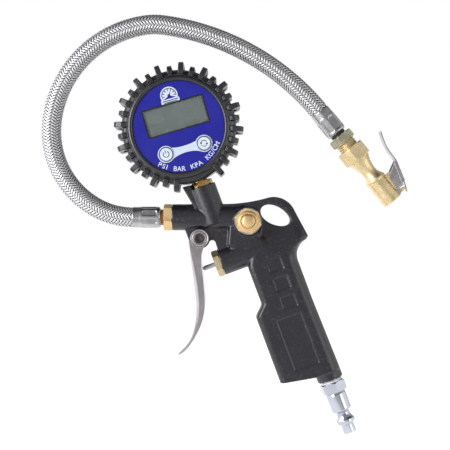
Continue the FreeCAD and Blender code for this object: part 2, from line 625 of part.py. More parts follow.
# ---------------------------------------------------------------- hose
def ferrule(end):
    """Crimped sleeve on Z: its closed end is at z = 0 and its skirt runs to z = length; `end` is the hole."""
    length = FERRULE_LENGTH
    skirt = 5.0
    skin = lathe((0, 0), (5.0, 0), ("arc", (5.9, 0.35), (6.3, 1.3)), (6.3, length - skirt),
                 (6.15, length - skirt + 0.6), (6.15, length), (0, length))
    jaws = prism(8, 12.1, -1, length - skirt, turn=0.0, bevel=0.0)
    jaws = fuse([jaws, rod(6.15, length - skirt - 0.1, length + 1)])
    return cut(skin.common(jaws), [rod(CRIMP_R + TOUCH, 0.9, length + 1), rod(end, -1, 2)])


def hose_layer(inner, outer, crimped):
    """One layer of the hose: swept along its bends, and squeezed to `crimped` inside each ferrule."""
    run = Part.Wire([Part.Arc(*points).toShape() for points in HOSE_ARCS])
    rims = [Part.Wire(Part.makeCircle(r, HOSE_ARCS[0][0], Vector(-1, 0, 0))) for r in (outer, inner)]
    free = run.makePipe(Part.makeFace(rims, "Part::FaceMakerBullseye"))
    held = ring(inner, crimped, 0, FERRULE_LENGTH - 0.9)
    return [free, placed(held, turned_frame(0, FERRULE_REACH + 0.9, 0), PORT),
            placed(held, Placement(Vector(-27.9, 0, 0), Rotation(Vector(0, 1, 0), -90)), CHUCK)]


def build_hose():
    keep("hose_braid", Part.makeCompound(hose_layer(TUBE_R, HOSE_R, CRIMP_R)))
    keep("hose_tube", Part.makeCompound(hose_layer(HOSE_BORE_R, TUBE_R, TUBE_R)))

    fitting = fuse([rod(PORT_THREAD_R, -9.6, 0.1), prism(6, HEX, 0, 5.1, turn=132.9, bevel=0.9),
                    rod(4.2, 5.0, 7.9), rod(HOSE_BORE_R, 7.5, 22.0)])
    keep("gun_hose_fitting", fitting.cut(rod(1.9, -20, 30)), PORT)
    keep("fitting_ring", ring(4.2 + TOUCH, 4.7, 5.15, 6.7), PORT)
    sleeve = ferrule(4.2 + TOUCH)
    keep("gun_ferrule", sleeve, turned_frame(0, FERRULE_REACH, 0), PORT)


def build_hose_end():
    """The crimped end of the hose and the stem that the chuck swivels on."""
    sleeve = ferrule(4.0 + TOUCH)
    keep("chuck_ferrule", sleeve, Placement(Vector(-27.0, 0, 0), Rotation(Vector(0, 1, 0), -90)), CHUCK)
    stem = fuse([rod(HOSE_BORE_R, -42.5, -27.5), rod(4.0, -27.85, -22.4), rod(4.7, -24.0, -22.6)])
    keep("hose_end_stem", stem.cut(rod(1.9, -50, -10)), ALONG_X, CHUCK)
    keep("swivel_o_ring", ring(4.0 + TOUCH, 4.75, -26.9, -25.4), ALONG_X, CHUCK)


# ---------------------------------------------------------------- chuck
CLIP_PIN = (14.1, 8.3)          # the clip's pivot, along the chuck and above its axis
CHEEK_IN, CHEEK_OUT = 3.3, 4.3


def beside(low, high, outline):
    """The outline as a pair of plates, one on each side of the chuck."""
    return [plate(outline, *sorted((side * low, side * high))) for side in (-1, 1)]


def chuck_body():
    """Brass chuck: hexagon, waisted neck, barrel, and the lug that carries the clip."""
    skin = lathe((0, -8.0), (7.2, -8.0),
                 ("curve", [(6.0, -4.4), (4.7, -0.2), (4.35, 3.4), (5.0, 6.2), (6.2, 8.2)]),
                 (6.35, 8.4), (6.35, 10.0), (6.15, 10.2), (6.15, 25.2), (5.85, 25.5), (0, 25.5))
    hexagon = prism(6, CHUCK_HEX, -15.5, -6.8, turn=102.2, bevel=1.0)
    turned = placed(fuse([hexagon, skin]), ALONG_X)
    lug = face((10.3, 3.0), (10.3, 9.4), (11.2, 10.4), (16.6, 10.4), (18.4, 7.3), (22.7, 7.3), (22.9, 10.6),
               (24.5, 10.2), (24.6, 3.0))
    solid = fuse([turned, plate(lug, -3.2, 3.2)])
    bores = placed(fuse([rod(6.1, -16.5, -9.6), rod(2.2, -10.0, 11.5), rod(4.6, 11.0, 16.0),
                         rod(VALVE_STEM_BORE_R, 15.5, 22.0), rod(4.6, 21.6, 27.0)]), ALONG_X)
    prong_slots = beside(3.25, 9.0, face((21.6, 1.0), (21.6, 12.0), (24.95, 12.0), (24.95, 1.0)))
    hole = placed(rod(1.0, -9, 9), ALONG_Y, turned_frame(CLIP_PIN[0], CLIP_PIN[1], 0))
    return cut(solid, [bores, hole] + prong_slots)


def clip_lever():
    """Pressed steel lever: a bent thumb strip, two cheeks and a prong at the front of each cheek."""
    thick = 0.9
    top = [(-11.7, 20.8), (-5.0, 18.2), (0.3, 17.1), (5.2, 16.9), (8.0, 16.7)]
    under = [(x, z - thick) for x, z in reversed(top)]
    strip = plate(face(top[0], ("curve", top[1:]), (20.4, 12.9), (20.4, 12.9 - thick), under[0],
                       ("curve", under[1:])), -CHEEK_OUT, CHEEK_OUT)
    tongue = plate(face((19.5, 13.1), (22.5, 12.1), (26.5, 10.2), (26.3, 9.6), (22.4, 11.4), (19.5, 12.4)),
                   -1.5, 1.5)
    cheek = face((6.9, 16.4), (10.7, 9.4), (11.8, 7.7), ("arc", (12.7, 6.9), (14.2, 6.6)), (21.9, 6.3),
                 (22.5, 1.4), (23.5, 1.4), (24.0, 5.4), (24.8, 5.7), (24.7, 6.3), (20.5, 7.9), (20.4, 12.5),
                 (8.0, 16.3))
    lever = fuse([strip, tongue] + beside(CHEEK_IN, CHEEK_OUT, cheek))
    hole = placed(rod(1.0 + FIT, -9, 9), ALONG_Y, turned_frame(CLIP_PIN[0], CLIP_PIN[1], 0))
    channel = box(9.0, 19.4, -CHEEK_IN, CHEEK_IN, 0, 11.0)
    return cut(lever, [hole, channel])


def clip_spring():
    """Extension spring between the lug and the lever's tongue: it pulls the prongs into the valve's thread."""
    winding = coil(1.0, 0.25, 7.5, 11.2, 4)
    winding.translate(Vector(20.7, 0, 0))
    return winding


def build_chuck():
    nipple = fuse([prism(6, HEX, -25.2, -20.0, turn=107.3, bevel=0.9), rod(6.1, -20.2, -9.8)])
    nipple = cut(nipple, [rod(4.0 + FIT, -26, -24), rod(4.7 + FIT, -24.1, -22.3), rod(2.4, -23, 0)])
    keep("swivel_nipple", nipple, ALONG_X, CHUCK)
    keep("chuck_body", chuck_body(), CHUCK)
    depressor = fuse([rod(4.55, 11.1, 12.2), rod(1.0, 12.0, 15.8)])
    vents = [placed(rod(0.8, 10, 13), Placement(Vector(2.6, 0, 0), Rotation()),
                    Placement(Vector(), Rotation(Vector(0, 0, 1), 120 * i))) for i in range(3)]
    keep("core_depressor", cut(depressor, vents), ALONG_X, CHUCK)
    keep("chuck_gasket", ring(2.0, 4.55, 12.25, 15.95), ALONG_X, CHUCK)
    keep("clip_lever", clip_lever(), CHUCK)
    pin = fuse([rod(1.0, -4.6, 4.6), rod(1.4, -4.8, -4.35), rod(1.4, 4.35, 4.8)])
    keep("clip_pin", pin, ALONG_Y, turned_frame(CLIP_PIN[0], CLIP_PIN[1], 0), CHUCK)
    keep("clip_spring", clip_spring(), CHUCK)


# ---------------------------------------------------------------- build
def main():
    keep("gun_casting", gun_casting(), GUN)
    build_inlet()
    build_trigger_valve()
    build_trigger()
    build_bleed_valve()
    build_gauge_stem()
    build_case()
    build_display()
    build_batteries()
    keep("gauge_boot", gauge_boot(), STEM)
    build_hose()
    build_hose_end()
    build_chuck()
    os.makedirs("parts", exist_ok=True)
    for name, shape in PARTS.items():
        shape.exportStep("parts/" + name + ".step")
        print(name, len(shape.Solids), "solids, valid:", shape.isValid(), round(shape.Volume, 1), "mm3")


main()
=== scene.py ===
"""Looks for the tyre inflator: enamelled casting, rubber boot, printed dial, woven hose and turned brass."""
import bpy
import bmesh
import json
import math
import numpy as np
from mathutils import Matrix, Vector


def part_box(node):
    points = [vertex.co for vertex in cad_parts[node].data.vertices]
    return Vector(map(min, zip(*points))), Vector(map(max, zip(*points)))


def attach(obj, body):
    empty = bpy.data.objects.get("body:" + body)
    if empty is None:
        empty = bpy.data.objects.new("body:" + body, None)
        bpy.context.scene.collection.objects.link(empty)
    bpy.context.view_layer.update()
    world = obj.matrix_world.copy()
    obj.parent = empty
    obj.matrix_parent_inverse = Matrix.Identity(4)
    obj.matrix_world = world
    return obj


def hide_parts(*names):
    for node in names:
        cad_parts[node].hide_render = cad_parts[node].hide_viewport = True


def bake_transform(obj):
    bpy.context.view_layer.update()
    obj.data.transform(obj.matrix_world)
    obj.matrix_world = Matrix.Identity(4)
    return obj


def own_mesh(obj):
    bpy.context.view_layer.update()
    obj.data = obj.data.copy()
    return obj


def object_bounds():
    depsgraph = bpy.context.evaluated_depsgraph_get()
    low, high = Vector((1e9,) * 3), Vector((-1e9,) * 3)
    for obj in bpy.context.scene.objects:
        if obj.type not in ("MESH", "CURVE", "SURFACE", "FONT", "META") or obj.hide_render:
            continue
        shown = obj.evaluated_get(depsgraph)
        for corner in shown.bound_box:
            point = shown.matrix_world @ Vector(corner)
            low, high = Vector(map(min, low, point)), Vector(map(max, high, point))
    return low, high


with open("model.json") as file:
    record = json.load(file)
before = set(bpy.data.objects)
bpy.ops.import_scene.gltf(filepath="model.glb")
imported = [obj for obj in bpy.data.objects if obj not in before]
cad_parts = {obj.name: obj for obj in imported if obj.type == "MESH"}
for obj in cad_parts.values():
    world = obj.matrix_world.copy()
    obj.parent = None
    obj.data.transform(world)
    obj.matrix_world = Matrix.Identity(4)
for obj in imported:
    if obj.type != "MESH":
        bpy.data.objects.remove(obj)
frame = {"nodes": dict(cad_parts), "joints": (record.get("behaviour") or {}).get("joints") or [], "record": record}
cad_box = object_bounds()
scene = bpy.context.scene
scene.view_settings.view_transform = "Standard"
record = frame["record"]
NODES = frame["nodes"]
SLOTS = {part["node"]: part["material_slot"] for part in record["subparts"]}
BODY = {node: body for body, nodes in record["behaviour"]["bodies"].items() for node in nodes}
JOINTS = {joint["name"]: joint for joint in frame["joints"]}
MM = 0.001
DIAL_LEAN = 16.3          # degrees the printed dial is turned back on the gauge
VALVE_HEIGHT = 122.6      # along the grip's axis, from the plug's open end
PLUG_TURN = 9.0           # degrees: where a flat of each hexagon faces
NIPPLE_TURN = 137.3
CHUCK_TURN = 132.2


# ---- frames, in millimetres
def axes(origin, x_dir, z_dir):
    """A frame from its origin in metres and two of its directions; its own unit is the millimetre."""
    x, z = Vector(x_dir).normalized(), Vector(z_dir).normalized()
    turn = Matrix((x, z.cross(x), z)).transposed().to_4x4()
    turn.translation = Vector(origin)
    return turn @ Matrix.Scale(MM, 4)


def turned(origin, degrees):
    """A frame leaning back by so many degrees: X to the rear and Z up its axis."""
    c, s = math.cos(math.radians(degrees)), math.sin(math.radians(degrees))
    return axes(origin, (c, 0, s), (-s, 0, c))


def middle(node):
    """Centre of a CAD node's box."""
    low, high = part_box(node)
    return (low + high) / 2


slide = Vector(JOINTS["valve_slide"]["axis"])
RAKE = math.degrees(math.atan2(slide.z, slide.x))
GUN = turned((0, 0, 0), RAKE)
dial_low, dial_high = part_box("dial_label")
DIAL = turned(((dial_low.x + dial_high.x) / 2, 0, (dial_low.z + dial_high.z) / 2), DIAL_LEAN)
STEM = turned(DIAL.translation, RAKE)
TRIGGER = turned(JOINTS["trigger_pull"]["pos_m"], 0)
swivel = JOINTS["chuck_swivel"]
U_DIR = Vector(swivel["axis"]).normalized()
V_DIR = Vector((-U_DIR.z, 0, U_DIR.x))
CHUCK = axes(Vector(swivel["pos_m"]) + U_DIR * 25 * MM, U_DIR, V_DIR)
port_low, port_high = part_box("gun_ferrule")
PORT = axes((port_high.x + 7 * MM, 0, (port_low.z + port_high.z) / 2), (0, 0, 1), (-1, 0, 0))
VALVE = GUN @ Matrix.Translation((0, 0, VALVE_HEIGHT)) @ Matrix.Rotation(math.pi / 2, 4, "Y")
bleed_spot = GUN.inverted() @ middle("bleed_button")
BLEED = GUN @ Matrix.Translation((bleed_spot.x, 0, bleed_spot.z)) @ Matrix.Rotation(-math.pi / 2, 4, "X")
CHUCK_AXIS = CHUCK @ Matrix.Rotation(math.pi / 2, 4, "Y")
CHUCK_FERRULE = CHUCK @ Matrix.Translation((-27, 0, 0)) @ Matrix.Rotation(-math.pi / 2, 4, "Y")
ROW = Matrix.Scale(MM, 4)


# ---- materials
def tone(red, green, blue):
    """Linear colour from display values of 0 to 255."""
    return tuple(c / 255 / 12.92 if c / 255 <= 0.04045 else ((c / 255 + 0.055) / 1.055) ** 2.4
                 for c in (red, green, blue)) + (1.0,)


class Nodes:
    """A shader tree; its methods add nodes and give back a socket."""

    def __init__(self, tree):
        self.tree = tree

    def node(self, kind, settings=None, **inputs):
        """A shader node; `settings` are its properties and the other arguments its inputs."""
        node = self.tree.nodes.new("ShaderNode" + kind)
        for key, value in (settings or {}).items():
            setattr(node, key, value)
        for key, value in inputs.items():
            self.put(node.inputs[key.replace("_", " ")], value)
        return node

    def put(self, socket, value):
        if isinstance(value, bpy.types.NodeSocket):
            self.tree.links.new(value, socket)
        else:
            socket.default_value = value

    def span(self, value, low, high, to_low=0.0, to_high=1.0):
        """Maps low..high to to_low..to_high with eased ends."""
        node = self.node("MapRange", {"interpolation_type": "SMOOTHSTEP"})
        for socket, item in zip(node.inputs, (value, low, high, to_low, to_high)):
            self.put(socket, item)
        return node.outputs[0]

    def calc(self, operation, a, b=0.0):
        node = self.node("Math", {"operation": operation})
        self.put(node.inputs[0], a)
        self.put(node.inputs[1], b)
        return node.outputs[0]


MATERIALS = {}


class Paint(Nodes):
    """One procedural material, whose patterns are placed in its home frame's millimetres."""

    def __init__(self, name, home=ROW):
        self.name = name
        self.material = bpy.data.materials.new(name)
        self.material.use_nodes = True
        super().__init__(self.material.node_tree)
        self.shader = self.tree.nodes["Principled BSDF"]
        place = self.node("TexCoord").outputs["Object"]
        local = home.inverted()
        self.spot = self.node("Mapping", Vector=place, Location=local.translation,
                              Rotation=local.to_euler(), Scale=(1 / MM,) * 3).outputs[0]

    def noise(self, size, detail=3.0, roughness=0.55, stretch=(1, 1, 1)):
        """Smooth noise from 0 to 1 whose grain is so many millimetres."""
        scaled = self.node("VectorMath", {"operation": "MULTIPLY"})
        self.put(scaled.inputs[0], self.spot)
        self.put(scaled.inputs[1], tuple(1 / size / s for s in stretch))
        return self.node("TexNoise", Vector=scaled.outputs[0], Scale=1.0, Detail=detail,
                         Roughness=roughness).outputs[0]

    def cells(self, size):
        """Distance to the nearest of many scattered points, so many millimetres apart."""
        scaled = self.node("VectorMath", {"operation": "SCALE"}, Scale=1 / size)
        self.put(scaled.inputs[0], self.spot)
        return self.node("TexVoronoi", {"feature": "F1"}, Vector=scaled.outputs[0], Scale=1.0).outputs[0]

    def blend(self, share, a, b):
        """Colour a where share is 0 and b where it is 1."""
        node = self.node("Mix", {"data_type": "RGBA"})
        self.put(node.inputs[0], share)
        self.put(node.inputs[6], a)
        self.put(node.inputs[7], b)
        return node.outputs[2]

    def along(self, axis):
        """Position along one axis of the home frame, in millimetres."""
        node = self.node("SeparateXYZ")
        self.put(node.inputs[0], self.spot)
        return node.outputs["XYZ".index(axis)]

    def relief(self, height, depth, strength=1.0):
        """Bump whose full height is so many millimetres."""
        bump = self.node("Bump", Height=height, Distance=depth * MM, Strength=strength)
        self.put(self.shader.inputs["Normal"], bump.outputs[0])

    def finish(self, colour, roughness, metallic=0.0, **others):
        """Wires up the shader, and files the material under its name."""
        self.put(self.shader.inputs["Base Color"], colour)
        self.put(self.shader.inputs["Roughness"], roughness)
        self.put(self.shader.inputs["Metallic"], metallic)
        for key, value in others.items():
            self.put(self.shader.inputs[key.replace("_", " ")], value)
        MATERIALS[self.name] = self.material


def edge_share(paint, low, high):
    """How sharp an outward edge is, for lightening along the edges."""
    return paint.span(paint.node("NewGeometry").outputs["Pointiness"], low, high)


def enamel():
    """Black enamel over a die casting: pebbled, and lighter in patches along its sharp edges."""
    p = Paint("black_enamel", GUN)
    grain = p.noise(1.0, 4.0, 0.65)
    patch = p.noise(14.0, 3.0)
    fleck = p.span(p.noise(1.0, 2.0, 0.6), 0.55, 0.72)
    colour = p.blend(patch, tone(18, 16, 24), tone(28, 26, 35))
    colour = p.blend(p.calc("MULTIPLY", fleck, 0.30), colour, tone(104, 103, 112))
    # lighter grey blended in, in patches, along sharp outward edges
    sharp_edge_lightening = p.calc("MULTIPLY", edge_share(p, 0.53, 0.62), p.span(p.noise(3.0), 0.45, 0.65))
    colour = p.blend(p.calc("MULTIPLY", sharp_edge_lightening, 0.4), colour, tone(120, 120, 126))
    rough = p.span(p.calc("ADD", p.calc("MULTIPLY", patch, 0.6), p.calc("MULTIPLY", grain, 0.4)),
                   0.2, 0.8, 0.27, 0.38)
    p.relief(p.calc("ADD", grain, p.calc("MULTIPLY", p.cells(1.3), 0.4)), 0.085, 0.8)
    p.finish(colour, rough, Specular_IOR_Level=0.7)


def rubber(name, low, high, grain=0.35, rough=(0.45, 0.65), home=ROW, sheen=0.5):
    """Matt moulded rubber with fine grain and a trace of dust."""
    p = Paint(name, home)
    patch = p.noise(9.0, 4.0)
    fine = p.noise(grain, 3.0)
    colour = p.blend(p.span(patch, 0.3, 0.7), tone(*low), tone(*high))
    dust = p.calc("MULTIPLY", p.span(p.noise(2.2, 5.0, 0.7), 0.55, 0.8), 0.06)
    colour = p.blend(dust, colour, tone(150, 150, 150))
    p.relief(fine, 0.018, 0.8)
    p.finish(colour, p.span(patch, 0.3, 0.7, *rough), Specular_IOR_Level=sheen)


def metal(name, low, high, rough=(0.14, 0.28), home=ROW, rings=0.0, scratch=0.6, tarnish=None):
    """Plated or turned metal. `rings` are tool marks round the home frame's Z axis, in millimetres."""
    p = Paint(name, home)
    patch = p.span(p.noise(9.0, 3.0, 0.5), 0.25, 0.75)
    colour = p.blend(patch, tone(*low), tone(*high))
    if tarnish:
        stain = p.calc("MULTIPLY", p.span(p.noise(4.0, 4.0, 0.6), 0.45, 0.8), 0.24)
        colour = p.blend(stain, colour, tone(*tarnish))
    lines = p.noise(0.14, 2.0, 0.5, stretch=(40, 40, 1) if rings else (1, 1, 30))
    height = p.calc("MULTIPLY", lines, scratch)
    if rings:
        height = p.calc("ADD", height, p.noise(rings, 2.0, 0.5, stretch=(400, 400, 1)))
    p.relief(height, 0.0013, 0.8)
    level = p.calc("ADD", p.calc("MULTIPLY", patch, 0.5), p.calc("MULTIPLY", lines, 0.5))
    p.finish(colour, p.span(level, 0.25, 0.75, *rough), 1.0)


def braid(name):
    """Bright wire, with painted shade where it dives under itself: `lift` is 1 on a band's crown, 0 down its
    sides.
    """
    p = Paint(name)
    lift = p.node("Attribute", {"attribute_name": "lift"}).outputs["Fac"]
    patch = p.noise(9.0, 3.0)
    # painted shade: the wire is blended toward dark grey where lift is low, down a band's sides and where it dives
    # under the crossing bands
    unshaded_share = p.span(p.calc("ADD", lift, p.calc("MULTIPLY", p.noise(0.5, 3.0), 0.25)), 0.30, 0.80)
    bright = p.blend(patch, tone(206, 206, 209), tone(222, 222, 225))
    p.relief(p.noise(0.12, 2.0), 0.003, 0.6)
    # tone(92, 92, 95) is the colour of that painted shade
    p.finish(p.blend(unshaded_share, tone(92, 92, 95), bright), p.span(patch, 0.3, 0.7, 0.38, 0.48), 0.85)


def film(name, low, high, rough=(0.32, 0.42), grain=0.15):
    """Printed plastic film with its fine dot texture."""
    p = Paint(name, DIAL)
    patch = p.noise(16.0, 2.0)
    dots = p.noise(grain, 2.0)
    colour = p.blend(p.calc("ADD", p.calc("MULTIPLY", patch, 0.7), p.calc("MULTIPLY", dots, 0.3)),
                     tone(*low), tone(*high))
    p.relief(dots, 0.01, 0.6)
    p.finish(colour, p.span(patch, 0.3, 0.7, *rough))


def plastic(name, low, high, rough=(0.35, 0.5), home=ROW):
    """Spark-eroded plastic."""
    p = Paint(name, home)
    patch = p.noise(5.0, 3.0)
    spark = p.noise(0.25, 3.0)
    p.relief(spark, 0.02, 0.7)
    p.finish(p.blend(patch, tone(*low), tone(*high)), p.span(spark, 0.3, 0.7, *rough))


def clear():
    """Clear window with a slight haze."""
    p = Paint("clear_window", DIAL)
    haze = p.noise(7.0, 2.0)
    colour = p.blend(haze, tone(185, 195, 192), tone(205, 212, 210))
    p.finish(colour, p.span(haze, 0.3, 0.7, 0.08, 0.16), Alpha=0.08)


def display_glass():
    """Grey-green display, switched off, with a fine darker mottle; its darker rim is the painted shade frame laid
    over it in print_keys.
    """
    p = Paint("lcd_grey", DIAL)
    cloud = p.noise(12.0, 2.0)
    colour = p.blend(cloud, tone(66, 77, 75), tone(80, 91, 89))
    colour = p.blend(p.calc("MULTIPLY", p.span(p.noise(0.3, 2.0), 0.3, 0.7), 0.06), colour, tone(64, 74, 70))
    p.finish(colour, p.span(cloud, 0.3, 0.7, 0.22, 0.32))


def make_materials():
    """The CAD's material slots, and the finishes that only the scene's pieces use."""
    brass = dict(low=(222, 190, 138), high=(240, 210, 162), tarnish=(176, 136, 84), rings=0.4)
    steel = dict(low=(170, 170, 173), high=(194, 194, 197), rings=0.4)
    enamel()
    metal("nickel_plate", (186, 189, 200), (202, 205, 215), (0.06, 0.12), GUN, rings=0.5)
    rubber("seal_tape", (206, 207, 212), (226, 226, 230), 0.2, (0.6, 0.8), GUN)
    metal("brass", (194, 176, 142), (214, 196, 160), (0.36, 0.48), VALVE, 0.4, 0.6, (140, 114, 76))
    metal("brass_port", rough=(0.40, 0.52), home=PORT, **brass)
    metal("brass_bleed", rough=(0.44, 0.56), home=BLEED, **brass)
    metal("brass_stem", (178, 142, 84), (200, 164, 106), (0.16, 0.26), STEM, 0.4)
    metal("pale_brass", (234, 210, 162), (248, 228, 184), (0.36, 0.48), CHUCK_AXIS, 0.4, 0.2, (186, 150, 98))
    metal("thread_brass", (214, 196, 156), (230, 214, 176), (0.34, 0.46), CHUCK_AXIS)
    metal("dull_nickel", (188, 180, 154), (206, 200, 176), (0.34, 0.46), CHUCK_AXIS, 0.4,
          tarnish=(128, 118, 92))
    metal("bright_steel", rough=(0.26, 0.36), home=PORT, **steel)
    metal("steel_chuck", rough=(0.16, 0.26), home=CHUCK_AXIS, **steel)
    braid("braid_wire")
    metal("braid_steel", (168, 168, 171), (200, 200, 203), (0.18, 0.30), scratch=0.3)
    metal("trigger_chrome", (178, 172, 176), (192, 187, 190), (0.17, 0.26), TRIGGER, scratch=0.5)
    metal("pin_dark", (70, 62, 60), (98, 88, 84), (0.30, 0.42), TRIGGER)
    metal("spring_steel", (150, 150, 153), (176, 176, 179))
    metal("clip_steel", (182, 176, 180), (200, 195, 199), (0.28, 0.42), CHUCK)
    rubber("seal_rubber", (24, 24, 25), (34, 34, 35))
    rubber("brown_seal", (92, 54, 30), (126, 78, 46))
    rubber("hose_rubber", (22, 22, 23), (32, 32, 33))
    rubber("boot_rubber", (19, 20, 26), (28, 29, 37), 0.4, (0.26, 0.38), DIAL, 0.8)
    rubber("key_white", (202, 213, 228), (216, 226, 238), 0.3, (0.45, 0.6), DIAL)
    rubber("contact_rubber", (196, 150, 160), (214, 172, 180))
    film("label_blue", (12, 14, 138), (18, 20, 150))
    film("print_white", (198, 209, 230), (212, 221, 240))
    film("print_black", (8, 8, 18), (14, 14, 24))
    clear()
    display_glass()
    plastic("case_plastic", (22, 22, 24), (34, 34, 37))
    plastic("bezel_black", (20, 20, 26), (30, 30, 36))
    plastic("board_green", (30, 92, 46), (44, 112, 60))
    plastic("switch_black", (38, 38, 40), (52, 52, 54))
    plastic("cell_wrap", (50, 50, 56), (70, 70, 78), (0.2, 0.3))


make_materials()
for node, thing in NODES.items():
    thing.data.materials.clear()
    thing.data.materials.append(MATERIALS[SLOTS[node]])


# ---- piece helpers
def piece(name, mesh, home, node, finish=None, crease=30, stands_for=True):
    """Adds a mesh, given in a home frame's millimetres, that rides and is painted like its CAD node."""
    mesh.transform(home)
    mesh.materials.clear()
    mesh.materials.append(MATERIALS[finish or SLOTS[node]])
    mesh.shade_smooth()
    if crease:
        mesh.set_sharp_from_angle(angle=math.radians(crease))
    thing = bpy.data.objects.new(name, mesh)
    scene.collection.objects.link(thing)
    if crease:
        even = thing.modifiers.new("even", "WEIGHTED_NORMAL")
        even.keep_sharp = True
        even.weight = 90
    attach(thing, BODY[node])
    if stands_for:
        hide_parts(node)
    return thing


def from_bmesh(bm, recalculate=True):
    """A mesh from a bmesh, with its faces turned outward unless they already are."""
    if recalculate:
        bmesh.ops.recalc_face_normals(bm, faces=bm.faces)
    mesh = bpy.data.meshes.new("mesh")
    bm.to_mesh(mesh)
    bm.free()
    return mesh


def from_grid(rows, close_rows=False, close_columns=True, caps=True):
    """Skins an array of points [rows, columns, 3]; the ends are capped with a fan of one face."""
    n, m = rows.shape[:2]
    verts = [tuple(p) for p in rows.reshape(-1, 3)]
    faces = []
    for i in range(n if close_rows else n - 1):
        for j in range(m if close_columns else m - 1):
            a, b = i * m + j, i * m + (j + 1) % m
            c, d = ((i + 1) % n) * m + (j + 1) % m, ((i + 1) % n) * m + j
            faces.append((a, b, c, d))
    if caps and not close_rows:
        faces.append(tuple(range(m))[::-1])
        faces.append(tuple((n - 1) * m + j for j in range(m)))
    mesh = bpy.data.meshes.new("mesh")
    mesh.from_pydata(verts, [], faces)
    mesh.validate()
    return mesh


def rings_about_z(profile, steps, radius_at, turn=0.0):
    """A ring of points for each entry of a profile; `radius_at(entry, angle)` is its radius there."""
    rows = []
    for entry in profile:
        ring = []
        for j in range(steps):
            angle = 2 * math.pi * j / steps
            r, aim = radius_at(entry, angle), math.radians(turn) + angle
            ring.append((r * math.cos(aim), r * math.sin(aim), entry[1]))
        rows.append(ring)
    return np.array(rows)


def spun(profile, steps=96, sides=0, turn=0.0, closed=False):
    """A shape turned about Z from (radius, z) or (radius, z, flat), where `sides` flats cut it at `flat`."""

    def radius_at(entry, angle):
        if not sides or len(entry) < 3:
            return entry[0]
        wedge = 2 * math.pi / sides
        off = (angle + wedge / 2) % wedge - wedge / 2
        return min(entry[0], entry[2] / math.cos(off))

    bm = bmesh.new()
    bm.from_mesh(from_grid(rings_about_z(profile, steps, radius_at, turn), close_rows=closed))
    bmesh.ops.remove_doubles(bm, verts=bm.verts, dist=1e-4)
    bmesh.ops.dissolve_degenerate(bm, edges=bm.edges, dist=1e-5)
    return from_bmesh(bm)


def softened(points, radius, bends=4, closed=False):
    """A profile or outline whose corners are rounded to a radius; entries keep their third number."""
    result = []
    count = len(points)
    for i, point in enumerate(points):
        if not closed and i in (0, count - 1):
            result.append(tuple(point))
            continue
        here = Vector(point[:2])
        before, after = Vector(points[i - 1][:2]), Vector(points[(i + 1) % count][:2])
        to_before, to_after = before - here, after - here
        if to_before.length < 1e-6 or to_after.length < 1e-6:
            continue
        turn = math.pi - to_before.angle(to_after)
        if turn < math.radians(12):
            result.append(tuple(point))
            continue
        reach = min(radius * math.tan(turn / 2), to_before.length * 0.45, to_after.length * 0.45)
        a, b = here + to_before.normalized() * reach, here + to_after.normalized() * reach
        for k in range(bends + 1):
            t = k / bends
            spot = a * (1 - t) ** 2 + here * 2 * t * (1 - t) + b * t * t
            result.append((spot.x, spot.y) + tuple(point[2:]))
    return result


def slab(outline, low, high, bevel=0.0, segments=2):
    """An outline of (x, z) as a plate from y = low to y = high, with its rims bevelled."""
    bm = bmesh.new()
    front = [bm.verts.new((x, low, z)) for x, z in outline]
    back = [bm.verts.new((x, high, z)) for x, z in outline]
    bm.faces.new(front)
    bm.faces.new(back[::-1])
    rims = []
    for i in range(len(front)):
        j = (i + 1) % len(front)
        face = bm.faces.new((front[j], front[i], back[i], back[j]))
        rims += [e for e in face.edges if set(e.verts) in ({front[i], front[j]}, {back[i], back[j]})]
    if bevel:
        bmesh.ops.bevel(bm, geom=list(set(rims)), offset=bevel, segments=segments, profile=0.6,
                        affect="EDGES", clamp_overlap=True)
    return from_bmesh(bm)


def joined(*meshes):
    """Several meshes as one."""
    bm = bmesh.new()
    for mesh in meshes:
        bm.from_mesh(mesh)
    return from_bmesh(bm, recalculate=False)


def moved(mesh, matrix):
    """The mesh itself, moved."""
    mesh.transform(matrix)
    return mesh


def tube(points, radius, sides=12):
    """A round wire through points, with flat ends."""
    path = np.array(points, float)
    ahead = np.gradient(path, axis=0)
    ahead /= np.linalg.norm(ahead, axis=1)[:, None]
    side = np.cross(ahead[0], (0.0, 0.0, 1.0))
    if np.linalg.norm(side) < 1e-3:
        side = np.array((1.0, 0.0, 0.0))
    rows = []
    angles = np.arange(sides) * 2 * math.pi / sides
    for spot, heading in zip(path, ahead):
        side = side - heading * side.dot(heading)
        side /= np.linalg.norm(side)
        up = np.cross(heading, side)
        rows.append(spot + radius * (np.cos(angles)[:, None] * side + np.sin(angles)[:, None] * up))
    return from_grid(np.array(rows))


def coil(radius, low, high, turns, count, centre_x=0.0):
    """Points of a helix about an axis along Z."""
    points = []
    for k in range(count):
        t = k / (count - 1)
        angle = 2 * math.pi * turns * t
        points.append((centre_x + radius * math.cos(angle), radius * math.sin(angle), low + (high - low) * t))
    return points


def baked(thing):
    """The object's mesh with its modifiers applied."""
    mesh = bpy.data.meshes.new_from_object(thing.evaluated_get(bpy.context.evaluated_depsgraph_get()))
    bpy.data.objects.remove(thing)
    return mesh


def loose(mesh):
    """A passing object that only carries modifiers until baked() removes it."""
    thing = bpy.data.objects.new("loose", mesh)
    scene.collection.objects.link(thing)
    return thing


def smooth(thing, passes, group=""):
    """Adds so many passes of smoothing, weighed by a vertex group if one is named."""
    soft = thing.modifiers.new("soft", "SMOOTH")
    soft.factor = 0.5
    soft.iterations = passes
    soft.vertex_group = group


def skinned(mesh, voxel, passes):
    """The mesh as one even skin with softened edges."""
    thing = loose(mesh)
    remesh = thing.modifiers.new("skin", "REMESH")
    remesh.mode = "VOXEL"
    remesh.voxel_size = voxel * MM
    smooth(thing, passes)
    return baked(thing)


